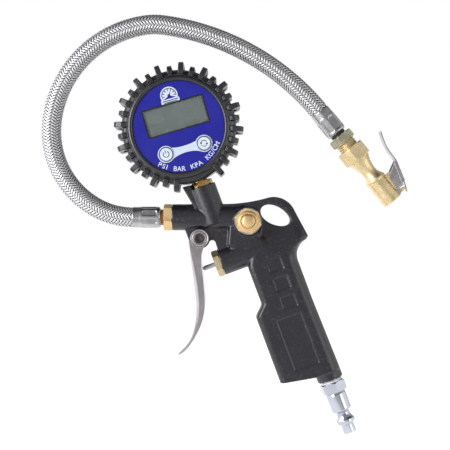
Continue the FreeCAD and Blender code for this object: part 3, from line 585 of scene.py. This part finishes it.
def softer(mesh, region, passes):
    """The mesh smoothed further, by the share that `region` gives for each place."""
    thing = loose(mesh)
    group = thing.vertex_groups.new(name="soft")
    for vertex in mesh.vertices:
        share = region(vertex.co)
        if share > 0.02:
            group.add((vertex.index,), share, "REPLACE")
    smooth(thing, passes, "soft")
    return baked(thing)


def eased(node, width, segments=2, angle=30):
    """The node's shape with its sharp edges rounded over, as machined or pressed metal has them."""
    bm = bmesh.new()
    bm.from_mesh(NODES[node].data)
    bmesh.ops.remove_doubles(bm, verts=bm.verts, dist=1e-6)
    bmesh.ops.dissolve_limit(bm, angle_limit=math.radians(0.6), verts=bm.verts, edges=bm.edges)
    sharp = [e for e in bm.edges if len(e.link_faces) == 2 and e.calc_face_angle(0) > math.radians(angle)]
    bmesh.ops.bevel(bm, geom=sharp, offset=width * MM, segments=segments, profile=0.65, affect="EDGES",
                    clamp_overlap=True)
    return from_bmesh(bm)


# ---- gun
def step(value, low, high):
    """0 below low, 1 above high, eased between."""
    t = min(1.0, max(0.0, (value - low) / (high - low)))
    return t * t * (3 - 2 * t)


def build_casting():
    """The casting as one skin, with the joint between plate, tower and barrels blended further."""
    back = GUN.inverted()

    def neck(spot):
        here = back @ spot
        share = step(here.z, 112, 117) * (1 - step(here.z, 132, 137))
        share *= step(here.x, -24, -17) * (1 - step(here.x, 12, 17))
        hole = math.hypot(here.x - 3.3, here.z - 137.4)
        return share * step(hole, 9.5, 12)

    mesh = softer(skinned(NODES["gun_casting"].data.copy(), 0.36, 4), neck, 60)
    piece("casting_skin", mesh, Matrix(), "gun_casting", crease=0)


build_casting()


# ---- hose
# radius in millimetres and turn in degrees of each bend, from the gun to the chuck
HOSE_BENDS = ((44.9, 28.7), (52.4, 68.0), (66.0, 74.2), (41.0, 16.8), (146.4, 42.8))
HOSE_START = Vector((port_low.x / MM, 0, PORT.translation.z / MM))


def onward(spot, heading, radius, run):
    """Place and heading after a run along a bend to the right, or straight on where the radius is None."""
    turn = run / radius if radius else 0.0
    chord = 2 * radius * math.sin(turn / 2) if radius else run
    aim = heading - turn / 2
    return spot + Vector((math.cos(aim), 0, math.sin(aim))) * chord, heading - turn


def hose_path(spacing, lead=3.0):
    """Points along the hose's centre, the outward side direction at each, and the whole length."""
    spot, heading = HOSE_START + Vector((lead, 0, 0)), math.pi
    bends = [(radius, math.radians(turn) * radius) for radius, turn in HOSE_BENDS]
    spots, sides, total = [], [], 0.0
    for radius, length in [(None, lead)] + bends + [(None, lead)]:
        count = max(2, int(round(length / spacing)))
        for k in range(count):
            point, aim = onward(spot, heading, radius, length * k / count)
            spots.append(tuple(point))
            sides.append((-math.sin(aim), 0, math.cos(aim)))
        spot, heading = onward(spot, heading, radius, length)
        total += length
    return np.array(spots), np.array(sides), total


def add_bending(name, mesh, node, finish=None):
    """A piece of the hose, shaped along its bends from the gun to the hose's end."""
    mesh.transform(ROW)
    mesh.materials.append(MATERIALS[finish or SLOTS[node]])
    mesh.shade_smooth()
    thing = bpy.data.objects.new(name, mesh)
    scene.collection.objects.link(thing)
    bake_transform(thing)
    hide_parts(node)
    return thing


ACROSS = np.array((0.0, 1.0, 0.0))


def build_hose_core():
    """The rubber core under the sleeve."""
    spots, sides, _ = hose_path(1.5)
    angles = np.arange(40) * 2 * math.pi / 40
    ring = np.cos(angles)[:, None, None] * sides + np.sin(angles)[:, None, None] * ACROSS
    add_bending("hose_core", from_grid((spots + 4.95 * ring).transpose(1, 0, 2)), "hose_tube")


def band_section(half_band, wires):
    """Section of a band of wires, as (offset across it, rise, share of lift)."""
    section = []
    for w in range(wires):
        for t in (0.0, 0.3, 0.7):
            place = (w + t) / wires * 2 - 1
            section.append((half_band * place, 0.24 * (1 - place ** 2) + (0.0 if t == 0.0 else 0.06),
                            1 - abs(place) ** 3))
    return section + [(half_band, 0.0, 0.0), (half_band * 0.8, -0.16, 0.0), (-half_band * 0.8, -0.16, 0.0)]


def build_hose_weave():
    """The steel sleeve: twelve bands of wires each way, each passing over two bands and under two."""
    carriers, pitch, lead, low, sleeve = 12, 21.6, 3.0, 5.30, 5.7
    spots, sides, total = hose_path(0.24)
    runs = np.linspace(0, total, len(spots))
    grid = np.arange(0, total, 0.40)
    into = np.minimum(grid, total - grid)
    squeeze = np.clip((into - lead + 0.2) / 1.6, 0, 1)
    squeeze = squeeze * squeeze * (3 - 2 * squeeze)
    slope = math.atan2(2 * math.pi * sleeve, pitch)
    verts, faces, lifts = [], [], []
    for way in (1, -1):
        for k in range(carriers):
            phase = 2 * math.pi * k / carriers + way * 2 * math.pi * grid / pitch
            wave = way * np.cos(phase * carriers / 2 - math.pi / 4)
            height = low + squeeze * (0.19 + 0.27 * wave)
            rows, shares = [], []
            for offset, rise, share in band_section(0.64, 4):
                angle = phase + way * offset * math.cos(slope) / sleeve
                along = np.clip(grid - offset * math.sin(slope), 0, total)
                centre, out = (np.stack([np.interp(along, runs, values[:, a]) for a in range(3)], axis=1)
                               for values in (spots, sides))
                radial = np.cos(angle)[:, None] * out + np.sin(angle)[:, None] * ACROSS
                rows.append(centre + radial * (height + rise)[:, None])
                # this lift share, lower down a band's sides and where it dives under, sets the painted shade in
                # braid()
                shares.append(share * (0.5 + 0.5 * np.clip(wave * 1.6, -1, 1)))
            block = np.stack(rows, axis=1)
            n, m = block.shape[:2]
            first = len(verts) * n * m
            verts.append(block.reshape(-1, 3))
            lifts.append(np.stack(shares, axis=1).reshape(-1))
            i, j = np.meshgrid(np.arange(n - 1), np.arange(m), indexing="ij")
            a, b = first + i * m + j, first + i * m + (j + 1) % m
            quads = np.stack([a, b, b + m, a + m], axis=-1).reshape(-1, 4)
            faces.append(quads if way == 1 else quads[:, ::-1])
    mesh = bpy.data.meshes.new("braid")
    mesh.from_pydata(np.concatenate(verts).tolist(), [], np.concatenate(faces).tolist())
    mesh.attributes.new("lift", "FLOAT", "POINT").data.foreach_set("value", np.concatenate(lifts))
    add_bending("hose_weave", mesh, "hose_braid", "braid_wire")


build_hose_core()
build_hose_weave()


# ---- crimped sleeves
def crimped_sleeve(name, node, home, hole, finish):
    """A ferrule: closed end at z = 0, eight pressed panels between raised ribs, and a skirt."""
    length, skirt, count, steps = 16.8, 5.0, 52, 208
    profile = [(hole, 1.0), (hole, 0.0), (4.9, 0.0), (5.6, 0.12), (6.05, 0.5), (6.25, 1.0)]
    profile += [(6.3, 1.3 + (length - skirt - 1.3) * i / count) for i in range(count + 1)]
    profile += [(6.24, length - skirt + 0.5), (6.16, length - skirt + 1.0), (6.16, length - 0.5),
                (6.1, length - 0.15), (5.95, length), (5.6, length), (5.5, length - 0.3), (5.5, length - 3.0)]
    panel_z, half_long, half_wide, corner = 6.5, 4.7, 1.95, 1.5

    def radius_at(entry, angle):
        radius, z = entry
        if radius <= 6.2:
            return radius
        off = angle % (math.pi / 4) - math.pi / 8
        u, v = abs(off) * 6.3 - half_wide + corner, abs(z - panel_z) - half_long + corner
        pressed = step(corner - math.hypot(max(u, 0.0), max(v, 0.0)), 0.0, 0.55)
        return radius * (1 - pressed) + min(radius, 5.80 / math.cos(off)) * pressed

    mesh = from_grid(rings_about_z(profile, steps, radius_at), caps=False)
    piece(name, mesh, home, node, finish, crease=40)


PORT_FERRULE = PORT @ Matrix.Translation((0, 0, 7))
crimped_sleeve("gun_sleeve", "gun_ferrule", PORT_FERRULE, 4.25, "bright_steel")
crimped_sleeve("chuck_sleeve", "chuck_ferrule", CHUCK_FERRULE, 4.05, "steel_chuck")


# ---- air plug
def hexed(low, high, across, chamfer, rings=8):
    """Profile entries of a hexagon on Z: the corners are turned away over `chamfer` at both ends."""
    flat = across / 2
    corner = flat / math.cos(math.pi / 6)
    rise = [(flat - 0.1 + (corner - flat + 0.1) * i / rings, chamfer * 0.55 * (i / rings) ** 2)
            for i in range(rings + 1)]
    return [(r, low + z, flat) for r, z in rise] + [(r, high - z, flat) for r, z in reversed(rise)]


def build_plug():
    """The quick-coupling plug in one turning, and the sealing tape wound on its thread."""
    tip = softened([(2.75, 8.0), (2.75, 0.0), (3.55, 0.0), (3.9, 0.45), (3.9, 5.2), (5.1, 6.3), (5.5, 7.1),
                    (5.5, 8.5), (4.7, 9.7), (4.2, 11.0), (4.0, 12.3), (4.0, 13.1), (5.9, 14.6), (6.0, 15.2),
                    (6.0, 24.4), (5.7, 25.4), (5.2, 26.0)], 0.25, 3)
    shank = [(6.0, 32.1), (6.0, 33.0), (6.1, 34.4)]
    profile = [point[:2] for point in tip] + hexed(26.02, 32.08, 14.0, 1.5) + shank
    mesh = spun(profile, steps=120, sides=6, turn=PLUG_TURN)
    piece("plug_body", mesh, GUN, "inlet_plug", crease=28)
    turns, rows = 2.6, []
    for i in range(120):
        t = i / 119
        angle = t * turns * 2 * math.pi
        z = 32.35 + 1.3 * t
        r = 6.45 + 0.05 * math.sin(angle * 3.0) + 0.03 * math.sin(angle * 7.0 + 1)
        rows.append([((r + dr) * math.cos(angle), (r + dr) * math.sin(angle), z + dz)
                     for dr, dz in ((-0.35, -0.30), (0.12, -0.26), (0.2, 0.0), (0.12, 0.26), (-0.35, 0.30))])
    piece("tape_wrap", from_grid(np.array(rows)), GUN, "inlet_seal_tape", crease=50)


build_plug()


# ---- machined and pressed metal
def thread(major, minor, low, high, pitch):
    """A helical thread about Z, closed at both ends."""
    count = int((high - low) / 0.09)
    profile = [(min(1.0, i / 4, (count - i) / 4), low + (high - low) * i / count) for i in range(count + 1)]

    def radius_at(entry, angle):
        fade, z = entry
        wave = abs(((z / pitch - angle / (2 * math.pi)) % 1.0) * 2 - 1)
        return minor + (major - minor) * min(1.0, max(0.0, wave * 1.5 - 0.25)) * fade

    return from_grid(rings_about_z(profile, 72, radius_at))


def build_chuck():
    """The brass chuck: hexagon, waisted neck, barrel with its open end, and the lug that carries the clip."""
    neck = [(7.2, -6.8), (6.9, -6.2), (6.45, -5.3), (5.95, -4.3), (5.45, -3.0), (5.05, -1.7), (4.72, -0.3),
            (4.5, 1.0), (4.38, 2.2), (4.36, 3.4), (4.48, 4.6), (4.75, 5.6), (5.2, 6.6), (5.8, 7.6),
            (6.2, 8.25), (6.4, 8.6), (6.42, 9.6), (6.32, 10.0), (6.15, 10.25), (6.15, 25.1), (6.05, 25.4),
            (5.85, 25.5), (4.75, 25.5), (4.6, 25.3), (4.6, 21.7), (4.25, 21.5), (4.25, 12.5), (2.2, 12.4),
            (2.2, 0.0)]
    hexagon = [(2.2, -15.5), (6.15, -15.45)] + hexed(-15.5, -6.8, 16.0, 1.9, 10)
    whole = spun(hexagon + neck, steps=144, sides=6, turn=CHUCK_TURN, closed=True)
    lug = softened([(10.4, 3.0), (10.4, 9.4), (11.2, 10.4), (16.6, 10.4), (18.4, 7.3), (22.7, 7.3),
                    (22.9, 10.5), (24.5, 10.2), (24.6, 3.0)], 0.5, 3, closed=True)
    piece("chuck_turning", whole, CHUCK_AXIS, "chuck_body", "pale_brass", crease=28)
    piece("chuck_lug", slab(lug, -3.15, 3.15, 0.2), CHUCK, "chuck_body", "pale_brass")


def build_metal():
    """Turned and pressed pieces whose CAD shape only needs its edges rounded."""
    for node, width, finish in (("packing_nut", 0.22, "brass"), ("bleed_bonnet", 0.16, "brass_bleed"),
                                ("gauge_stem", 0.2, "brass_stem"), ("gun_hose_fitting", 0.2, "brass_port"),
                                ("pin_clip", 0.12, "spring_steel"), ("bleed_washer", 0.15, "bright_steel"),
                                ("clip_pin", 0.15, "bright_steel"), ("valve_stem", 0.1, "bright_steel"),
                                ("case_rear", 0.5, None), ("battery_cover", 0.3, None),
                                ("key_power", 0.15, None), ("key_function", 0.15, None)):
        piece(node + "_eased", eased(node, width), Matrix(), node, finish)


def build_nipple():
    """The swivel nipple's hexagon and the thread that shows between it and the chuck."""
    profile = [(4.1, -22.0), (4.1, -25.2)] + hexed(-25.2, -20.0, 14.0, 1.6) + [(5.0, -20.0)]
    piece("nipple_hexagon", spun(profile, steps=120, sides=6, turn=NIPPLE_TURN, closed=True), CHUCK_AXIS,
          "swivel_nipple", "dull_nickel", crease=28)
    piece("nipple_thread", thread(6.15, 5.65, -20.0, -11.0, 1.45), CHUCK_AXIS, "swivel_nipple",
          "thread_brass")


def build_button():
    """The release button: a broad, flat-crowned cap standing in its turned collar."""
    dome = softened([(0, -17.2), (1.7, -17.15), (2.9, -16.95), (3.7, -16.5), (4.05, -15.9), (4.1, -14.65),
                     (1.9, -14.65), (1.9, -0.9), (0, -0.9)], 0.25, 3)
    piece("bleed_dome", spun(dome, steps=64), BLEED, "bleed_button", "brass_bleed", crease=45)
    lip = softened([(4.3, -14.2), (4.3, -15.35), (4.5, -15.65), (5.0, -15.65), (5.4, -15.4), (5.8, -14.85),
                    (6.4, -14.3)], 0.12, 3, closed=True)
    piece("bonnet_lip", spun(lip, steps=72, closed=True), BLEED, "bleed_bonnet", "brass_bleed", crease=45)


def build_spring(node, home, low, high):
    """A coil of wire between two seats."""
    wire, ends = 0.34, 0.36
    points = coil(3.1, low + ends, high - ends, 5, 161)
    thing = piece(node + "_coil", tube(points, wire, 10), home, node, crease=0)
    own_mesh(thing)


# the trigger's blade from its eye to its tip: front edge, back edge, and how far its front is crowned
BLADE_EDGE = ((-6.1, -2.0), (-5.6, -5.5), (-4.85, -9.5), (-3.5, -16.0), (-2.2, -22.5), (-1.1, -29.0),
              (-0.4, -35.5), (-0.2, -41.5), (-0.6, -47.5), (-1.6, -53.0), (-3.6, -58.4), (-6.6, -63.4),
              (-9.6, -66.9), (-12.5, -69.2))
BLADE_BACK = ((3.4, -4.0), (2.1, -7.0), (1.6, -10.4), (1.8, -16.4), (2.6, -23.0), (3.2, -29.4), (3.6, -35.6),
              (3.3, -41.3), (2.4, -46.7), (0.9, -51.9), (-1.6, -57.2), (-5.0, -62.8), (-8.7, -67.2),
              (-12.3, -69.6))
BLADE_RISE = (0.7, 0.9, 1.3, 1.7, 2.0, 2.2, 2.1, 1.9, 1.9, 1.8, 1.6, 1.3, 0.8, 0.3)


def flowing(values, share):
    """A smooth value through evenly spread values, at a share of 0 to 1."""
    values = [Vector(v) if hasattr(v, "__len__") else Vector((v, 0.0)) for v in values]
    run = share * (len(values) - 1)
    i = min(int(run), len(values) - 2)
    t = run - i
    a, b = values[max(i - 1, 0)], values[i]
    c, d = values[i + 1], values[min(i + 2, len(values) - 1)]
    squared, cubed = (2 * a - 5 * b + 4 * c - d) * t * t, (3 * b - a - 3 * c + d) * t ** 3
    return 0.5 * (2 * b + (c - a) * t + squared + cubed)


def build_trigger():
    """The trigger: a bored eye, and a curved blade with flat sides and a crowned front."""
    half, rows = 6.4, []
    for k in range(121):
        share = k / 120
        edge, back = flowing(BLADE_EDGE, share), flowing(BLADE_BACK, share)
        rise = flowing(BLADE_RISE, share).x
        ahead = (edge - back).normalized()
        slim = half - 0.9 * step(share, 0.86, 1.0)
        ring = [(back + ahead * 0.5, slim), (back + ahead * 0.12, slim - 0.18), (back, slim - 0.55),
                (back, 0.0), (back, -slim + 0.55), (back + ahead * 0.12, -slim + 0.18),
                (back + ahead * 0.5, -slim)]
        for j in range(19):
            y = -slim + 2 * slim * j / 18
            ring.append((edge + ahead * rise * (1 - (y / slim) ** 2), y))
        rows.append([(spot.x, y, spot.y) for spot, y in ring])
    blade = from_grid(np.array(rows))
    across = Matrix.Rotation(-math.pi / 2, 4, "X")
    eye = [(2.55, -6.15), (2.55, -6.35), (4.85, -6.35), (5.05, -6.5), (5.3, -6.55), (5.5, -6.4), (5.5, 6.4),
           (5.3, 6.55), (5.05, 6.5), (4.85, 6.35), (2.55, 6.35)]
    boss = moved(spun(softened(eye, 0.1, 2, closed=True), steps=96, closed=True), across)
    piece("trigger_blade", blade, TRIGGER, "trigger", "trigger_chrome", crease=24)
    piece("trigger_eye", boss, TRIGGER, "trigger", "trigger_chrome", crease=35)


def build_pin():
    """The pivot pin's dished head, and the bright bush round it in the trigger's eye."""
    across = TRIGGER @ Matrix.Rotation(-math.pi / 2, 4, "X")
    head = softened([(0, -6.62), (1.3, -6.66), (1.5, -6.95), (2.7, -7.0), (3.0, -6.75), (3.0, -6.1),
                     (2.5, -6.05), (2.5, 7.9), (2.2, 8.0), (0, 8.0)], 0.15, 3)
    piece("pin_head", spun(head, steps=64), across, "trigger_pin", "pin_dark", crease=40)
    bush = softened([(3.35, -6.2), (3.35, -6.62), (3.6, -6.8), (4.15, -6.8), (4.4, -6.6), (4.5, -6.2)],
                    0.12, 3, closed=True)
    piece("eye_bush", spun(bush, steps=72, closed=True), across, "trigger", "bright_steel", stands_for=False)


def build_clip():
    """Pressed clip: a thin sprung thumb strip, two cheeks with a raised fold, a tongue and hooks."""
    top = [(-11.7, 20.8), (-8.4, 19.4), (-5.0, 18.25), (-2.2, 17.5), (0.3, 17.1), (2.8, 16.95), (5.2, 16.9),
           (8.0, 16.7)]
    thin = 0.62
    strip = slab(top + [(14.2, 14.8), (20.4, 12.9), (20.3, 12.9 - thin), (14.0, 14.8 - thin)]
                 + [(x - 0.1, z - thin) for x, z in reversed(top)], -4.3, 4.3, 0.14, 3)
    tongue = slab([(19.5, 13.1), (22.5, 12.1), (26.5, 10.2), (26.3, 9.7), (22.4, 11.5), (19.5, 12.5)],
                  -1.5, 1.5, 0.12, 2)
    cheek = softened([(7.2, 16.4), (10.7, 9.4), (11.8, 7.7), (12.7, 6.9), (14.2, 6.6), (21.9, 6.3),
                      (22.5, 1.4), (23.5, 1.4), (24.0, 5.4), (24.8, 5.7), (24.7, 6.3), (20.5, 7.9),
                      (20.4, 12.5)], 0.4, 3, closed=True)
    parts = [strip, tongue]
    for side in (-1, 1):
        low, high = sorted((side * 3.4, side * 4.25))
        parts.append(slab(cheek, low, high, 0.16, 2))
        y = side * 4.2
        fold = ((8.3, 14.9), (9.6, 14.35), (11.0, 13.75), (15.5, 12.25), (20.0, 10.75))
        parts.append(tube([(x, y, z) for x, z in fold], 0.3))
        parts.append(tube([(12.0, y, 8.2), (10.4, y, 11.0), (8.6, y, 14.6)], 0.22))
    piece("clip_pressing", joined(*parts), CHUCK, "clip_lever", "clip_steel", crease=40)
    turns = coil(0.95, 7.7, 11.0, 5, 150, 20.9)
    piece("clip_coil", tube(turns, 0.24, 8), CHUCK, "clip_spring", "bright_steel", crease=0)


build_metal()
build_trigger()
build_nipple()
build_chuck()
build_button()
build_spring("valve_spring", VALVE, -16.8, -6.1)
build_spring("bleed_spring", BLEED, -0.85, 5.45)
build_pin()
build_clip()


# ---- gauge boot
def build_boot():
    """Rubber boot moulded as a tyre: a lip round the dial, a set-back shoulder, two rows of tread blocks."""
    half = [(30.1, 14.0), (27.15, 14.0), (27.0, 14.8), (27.3, 15.35), (27.9, 15.7), (28.7, 15.75),
            (29.5, 15.4), (30.1, 14.8), (30.45, 13.9), (30.6, 12.4), (32.6, 11.4), (33.9, 9.6)]
    profile = [(r, -y) for r, y in half] + [(r, y) for r, y in reversed(half)]
    skin = spun(softened(profile, 0.5, 3, closed=True), steps=180, closed=True)
    parts = [moved(skin, Matrix.Rotation(-math.pi / 2, 4, "X"))]
    count = 32
    for i in range(count):
        degrees = 360 * i / count
        if abs(degrees - 180) < 12:
            continue
        tip, foot, crest = (36.3, 1.55, 1.35) if i % 2 else (38.3, 1.65, 1.45)
        for side in (-1, 1):
            stations = [(31.1, 14.6, foot * 0.9), (31.5, 15.3, foot * 0.95), (33.6, 15.3, foot),
                        (tip - 1.5, 14.5, crest + 0.1), (tip - 0.15, 12.6, crest), (tip, 12.0, crest - 0.05)]
            rows = []
            for r, y, w in stations:
                deep = 0.35 if r > 34 else 9.0
                rows.append([(-w, side * y, r), (w, side * y, r), (w * 1.05, side * deep, r),
                             (-w * 1.05, side * deep, r)])
            rows = [[(x, y, 30.6) for x, y, _ in rows[0]]] + rows
            block = from_grid(np.array(rows))
            parts.append(moved(block, Matrix.Rotation(math.radians(degrees), 4, "Y")))
    whole = moved(joined(*parts), STEM)
    piece("boot_skin", skinned(whole, 0.26, 2), Matrix(), "gauge_boot", crease=0)


build_boot()


# ---- dial print
BASE, TOP = -14.28, -14.35        # a printed mark's back and face, on the dial frame's Y
KEYS = {"key_power": (-11.6, -13.7), "key_function": (11.6, -13.7)}


def printed(name, mesh, finish, body_node="dial_label"):
    """A printed mark: it adds to the piece that it lies on and replaces nothing."""
    return piece(name, mesh, DIAL, body_node, finish, stands_for=False)


def flat_ring(inner, outer, low, high, steps=96, centre=(0, 0)):
    """A flat washer facing along Y."""
    mesh = spun([(inner, low), (outer, low), (outer, high), (inner, high)], steps=steps, closed=True)
    return moved(mesh, Matrix.Translation((centre[0], 0, centre[1])) @ Matrix.Rotation(-math.pi / 2, 4, "X"))


def arc_bar(radius, width, start, end, low, high, centre=(0, 0), steps=40):
    """A bar bent round a centre, from one angle to another, as a thin plate."""
    rows = []
    for i in range(steps + 1):
        angle = math.radians(start + (end - start) * i / steps)
        ring = []
        for r, y in ((radius - width / 2, low), (radius + width / 2, low), (radius + width / 2, high),
                     (radius - width / 2, high)):
            ring.append((centre[0] + r * math.cos(angle), y, centre[1] + r * math.sin(angle)))
        rows.append(ring)
    return from_grid(np.array(rows))


def rounded_box(width, height, radius, centre=(0, 0)):
    """Outline of a rectangle with rounded corners."""
    w, h = width / 2, height / 2
    corners = [(centre[0] + x, centre[1] + z) for x, z in ((-w, -h), (w, -h), (w, h), (-w, h))]
    return softened(corners, radius, 5, closed=True)


def frame_ring(outer, inner, low, high):
    """A thin frame between two outlines of equal count."""
    rows = []
    for (ax, az), (bx, bz) in zip(outer, inner):
        rows.append([(ax, low, az), (bx, low, bz), (bx, high, bz), (ax, high, az)])
    return from_grid(np.array(rows), close_rows=True)


def glyph(text, size):
    """A letter as a thin raised mesh."""
    curve = bpy.data.curves.new("glyph", "FONT")
    curve.body = text
    curve.size = size
    curve.extrude = 0.02
    curve.offset = 0.07
    curve.resolution_u = 6
    curve.align_x = "CENTER"
    return baked(loose(curve))


def print_keys():
    """The display's dark frame (painted shade of its recess), the bridge between the keys, and the signs raised on
    their caps.
    """
    middle_up = (0, 6.2)
    # painted shade: a thin black frame over the display window's edge stands for the shade in the display's recess
    border = frame_ring(rounded_box(37.9, 17.3, 0.5, middle_up), rounded_box(36.3, 15.9, 0.3, middle_up),
                        TOP - 0.02, BASE)
    printed("display_border", border, "print_black")
    bone = [(x, -11.75 + 1.0 * (abs(x) / 8.0) ** 2.2) for x in np.linspace(-8.0, 8.0, 17)]
    bone += [(x, -15.75 - 1.6 * (abs(x) / 8.0) ** 2.2) for x in np.linspace(8.0, -8.0, 17)]
    printed("key_bridge", slab(bone[::-1], TOP, BASE), "print_white")
    low, high = -15.05, -14.95
    for node, spot in KEYS.items():
        printed("key_halo_" + node[4:], flat_ring(4.5, 5.0, TOP - 0.03, BASE, centre=spot), "print_white")
        printed("key_rim_" + node[4:], flat_ring(3.74, 4.22, low, high, centre=spot), "print_black", node)
    x, z = KEYS["key_power"]
    sign = joined(arc_bar(1.75, 0.42, 125, 415, low, high, (x, z)),
                  slab(rounded_box(0.42, 1.9, 0.15, (x, z + 1.5)), low, high))
    printed("sign_power", sign, "print_black", "key_power")
    arcs, centre = [], Vector(KEYS["key_function"])
    for turn in (0, 180):
        arcs.append(arc_bar(1.75, 0.38, turn + 20, turn + 140, low, high, centre))
        tip = math.radians(turn + 160)
        out = Vector((math.cos(tip), math.sin(tip)))
        ahead = Vector((-out.y, out.x))
        hub = centre + out * 1.75
        head = [hub + ahead * 0.9, hub - ahead * 0.35 + out * 0.75, hub - ahead * 0.35 - out * 0.75]
        arcs.append(slab([tuple(v) for v in head], low, high))
    printed("sign_cycle", joined(*arcs), "print_black", "key_function")


def print_units():
    """Unit names along the lower rim."""
    words = "PSI  BAR  KPA  KG/CM"
    advance = {" ": 0.62, "I": 0.55, "/": 0.65, "M": 1.30, "G": 1.15}
    widths = [advance.get(letter, 1.0) for letter in words]
    letters, run = [], 0.0
    for letter, width in zip(words, widths):
        a = math.radians(-135 + 98 * (run + width / 2) / sum(widths))
        run += width
        if letter == " ":
            continue
        place = Matrix.Translation((26.2 * math.cos(a), TOP, 26.2 * math.sin(a)))
        turn = Matrix.Rotation(-(a + math.pi / 2), 4, "Y") @ Matrix.Rotation(math.pi / 2, 4, "X")
        letters.append(moved(glyph(letter, 3.9), place @ turn))
    printed("unit_names", joined(*letters), "print_white")


def print_badge():
    """A small dial sign above the display."""
    x, z = -0.3, 20.3
    hub, low, high = (x, z - 1.2), TOP - 0.05, TOP + 0.01
    printed("badge", joined(slab(rounded_box(11.0, 3.0, 0.6, (x, z - 4.6)), TOP, BASE),
                            arc_bar(2.6, 5.2, -25, 205, TOP, BASE, hub, 60)), "print_white")
    marks = [arc_bar(4.2, 0.42, -14, 194, low, high, hub, 60)]
    for k in range(7):
        at = -4 + 188 * k / 6
        marks.append(arc_bar(3.3, 1.1, at - 4.0, at + 4.0, low, high, hub, 4))
    c, s = math.cos(math.radians(58)), math.sin(math.radians(58))
    needle = [(-0.35 * s, 0.35 * c), (0.35 * s, -0.35 * c), (3.0 * c, 3.0 * s)]
    marks.append(slab([(hub[0] + dx, hub[1] + dz) for dx, dz in needle], TOP - 0.06, high))
    marks.append(flat_ring(0.25, 0.8, TOP - 0.07, high, 32, hub))
    for width, height, drop in ((9.6, 0.5, 4.1), (7.6, 0.45, 5.1)):
        marks.append(slab(rounded_box(width, height, 0.2, (x, z - drop)), low, high))
    printed("badge_marks", joined(*marks), "print_black")


print_keys()
print_units()
print_badge()


# ---- stage
camera = bpy.data.cameras.new("camera")
camera_spot = bpy.data.objects.new("camera", camera)
scene.collection.objects.link(camera_spot)
DISTANCE, VIEW_WIDTH = 0.70, 0.270       # metres
WHITE = (1.0, 1.0, 1.0, 1.0)
camera.sensor_width = 36
camera.lens = 36 * DISTANCE / VIEW_WIDTH
camera_spot.location = (-0.07516, -DISTANCE, 0.12424)
camera_spot.rotation_euler = (math.radians(90), 0, 0)
scene.camera = camera_spot


def build_world():
    """White to the camera. To everything else, pale sides, a dimmer top and a dimmer camera side."""
    world = bpy.data.worlds.new("studio")
    scene.world = world
    world.use_nodes = True
    world.node_tree.nodes.clear()
    w = Nodes(world.node_tree)
    level = 0.38
    for direction, low, high, strength in (((-1.0, -0.15, -0.05), 0.52, 0.9, 1.5),
                                           ((1.0, -0.1, -0.15), 0.55, 0.9, 0.75),
                                           ((-0.15, -0.35, -1.0), 0.4, 0.9, 0.9),
                                           ((0.0, 1.0, -0.1), 0.5, 0.9, 0.4),
                                           ((0.0, 0.1, 1.0), 0.62, 0.9, -0.32)):
        dot = w.node("VectorMath", {"operation": "DOT_PRODUCT"})
        w.put(dot.inputs[0], w.node("TexCoord").outputs["Generated"])
        w.put(dot.inputs[1], Vector(direction).normalized())
        level = w.calc("ADD", level, w.span(dot.outputs["Value"], low, high, 0.0, strength))
    soft, white = (w.node("Background", Color=WHITE, Strength=strength) for strength in (level, 1.0))
    mix = w.node("MixShader")
    w.put(mix.inputs[0], w.node("LightPath").outputs["Is Camera Ray"])
    w.put(mix.inputs[1], soft.outputs[0])
    w.put(mix.inputs[2], white.outputs[0])
    w.put(w.node("OutputWorld").inputs["Surface"], mix.outputs[0])


def area_light(name, spot, wide, tall, power, target=(-0.08, 0, 0.12)):
    """A soft box aimed at the middle of the object."""
    light = bpy.data.lights.new(name, "AREA")
    light.shape = "RECTANGLE"
    light.size, light.size_y = wide, tall
    light.energy = power
    thing = bpy.data.objects.new(name, light)
    scene.collection.objects.link(thing)
    thing.location = spot
    thing.rotation_euler = (Vector(target) - Vector(spot)).to_track_quat("-Z", "Y").to_euler()


def build_floor():
    """A pale floor that glows evenly to the camera and unevenly to the metal above it."""
    bm = bmesh.new()
    bmesh.ops.create_grid(bm, x_segments=8, y_segments=8, size=6.0)
    mesh = from_bmesh(bm)
    p = Paint("floor")
    cloud = p.noise(300.0, 2.0)
    p.finish(p.blend(cloud, (0.86, 0.86, 0.86, 1), (0.9, 0.9, 0.9, 1)), 0.9)
    left = p.span(p.along("X"), -330.0, -120.0, 0.8, 0.0)
    rear = p.span(p.along("Y"), -120.0, -30.0, 0.0, 0.6)
    lit = p.calc("ADD", p.calc("MAXIMUM", left, rear), 0.12)
    seen = p.span(p.node("LightPath").outputs["Is Camera Ray"], 0.0, 1.0, lit, 0.75)
    glow = p.node("Emission", Color=WHITE, Strength=seen)
    add = p.node("AddShader")
    p.put(add.inputs[0], p.shader.outputs[0])
    p.put(add.inputs[1], glow.outputs[0])
    p.put(p.tree.nodes["Material Output"].inputs["Surface"], add.outputs[0])
    mesh.materials.append(p.material)
    floor = bpy.data.objects.new("floor", mesh)
    scene.collection.objects.link(floor)
    floor.location = (-0.08, 0, cad_box[0].z - 0.002)


build_world()
build_floor()
area_light("key", (-0.8, -0.72, 0.05), 0.34, 1.1, 11.0)
area_light("fill", (0.8, -0.7, 0.0), 0.5, 0.8, 2.0)
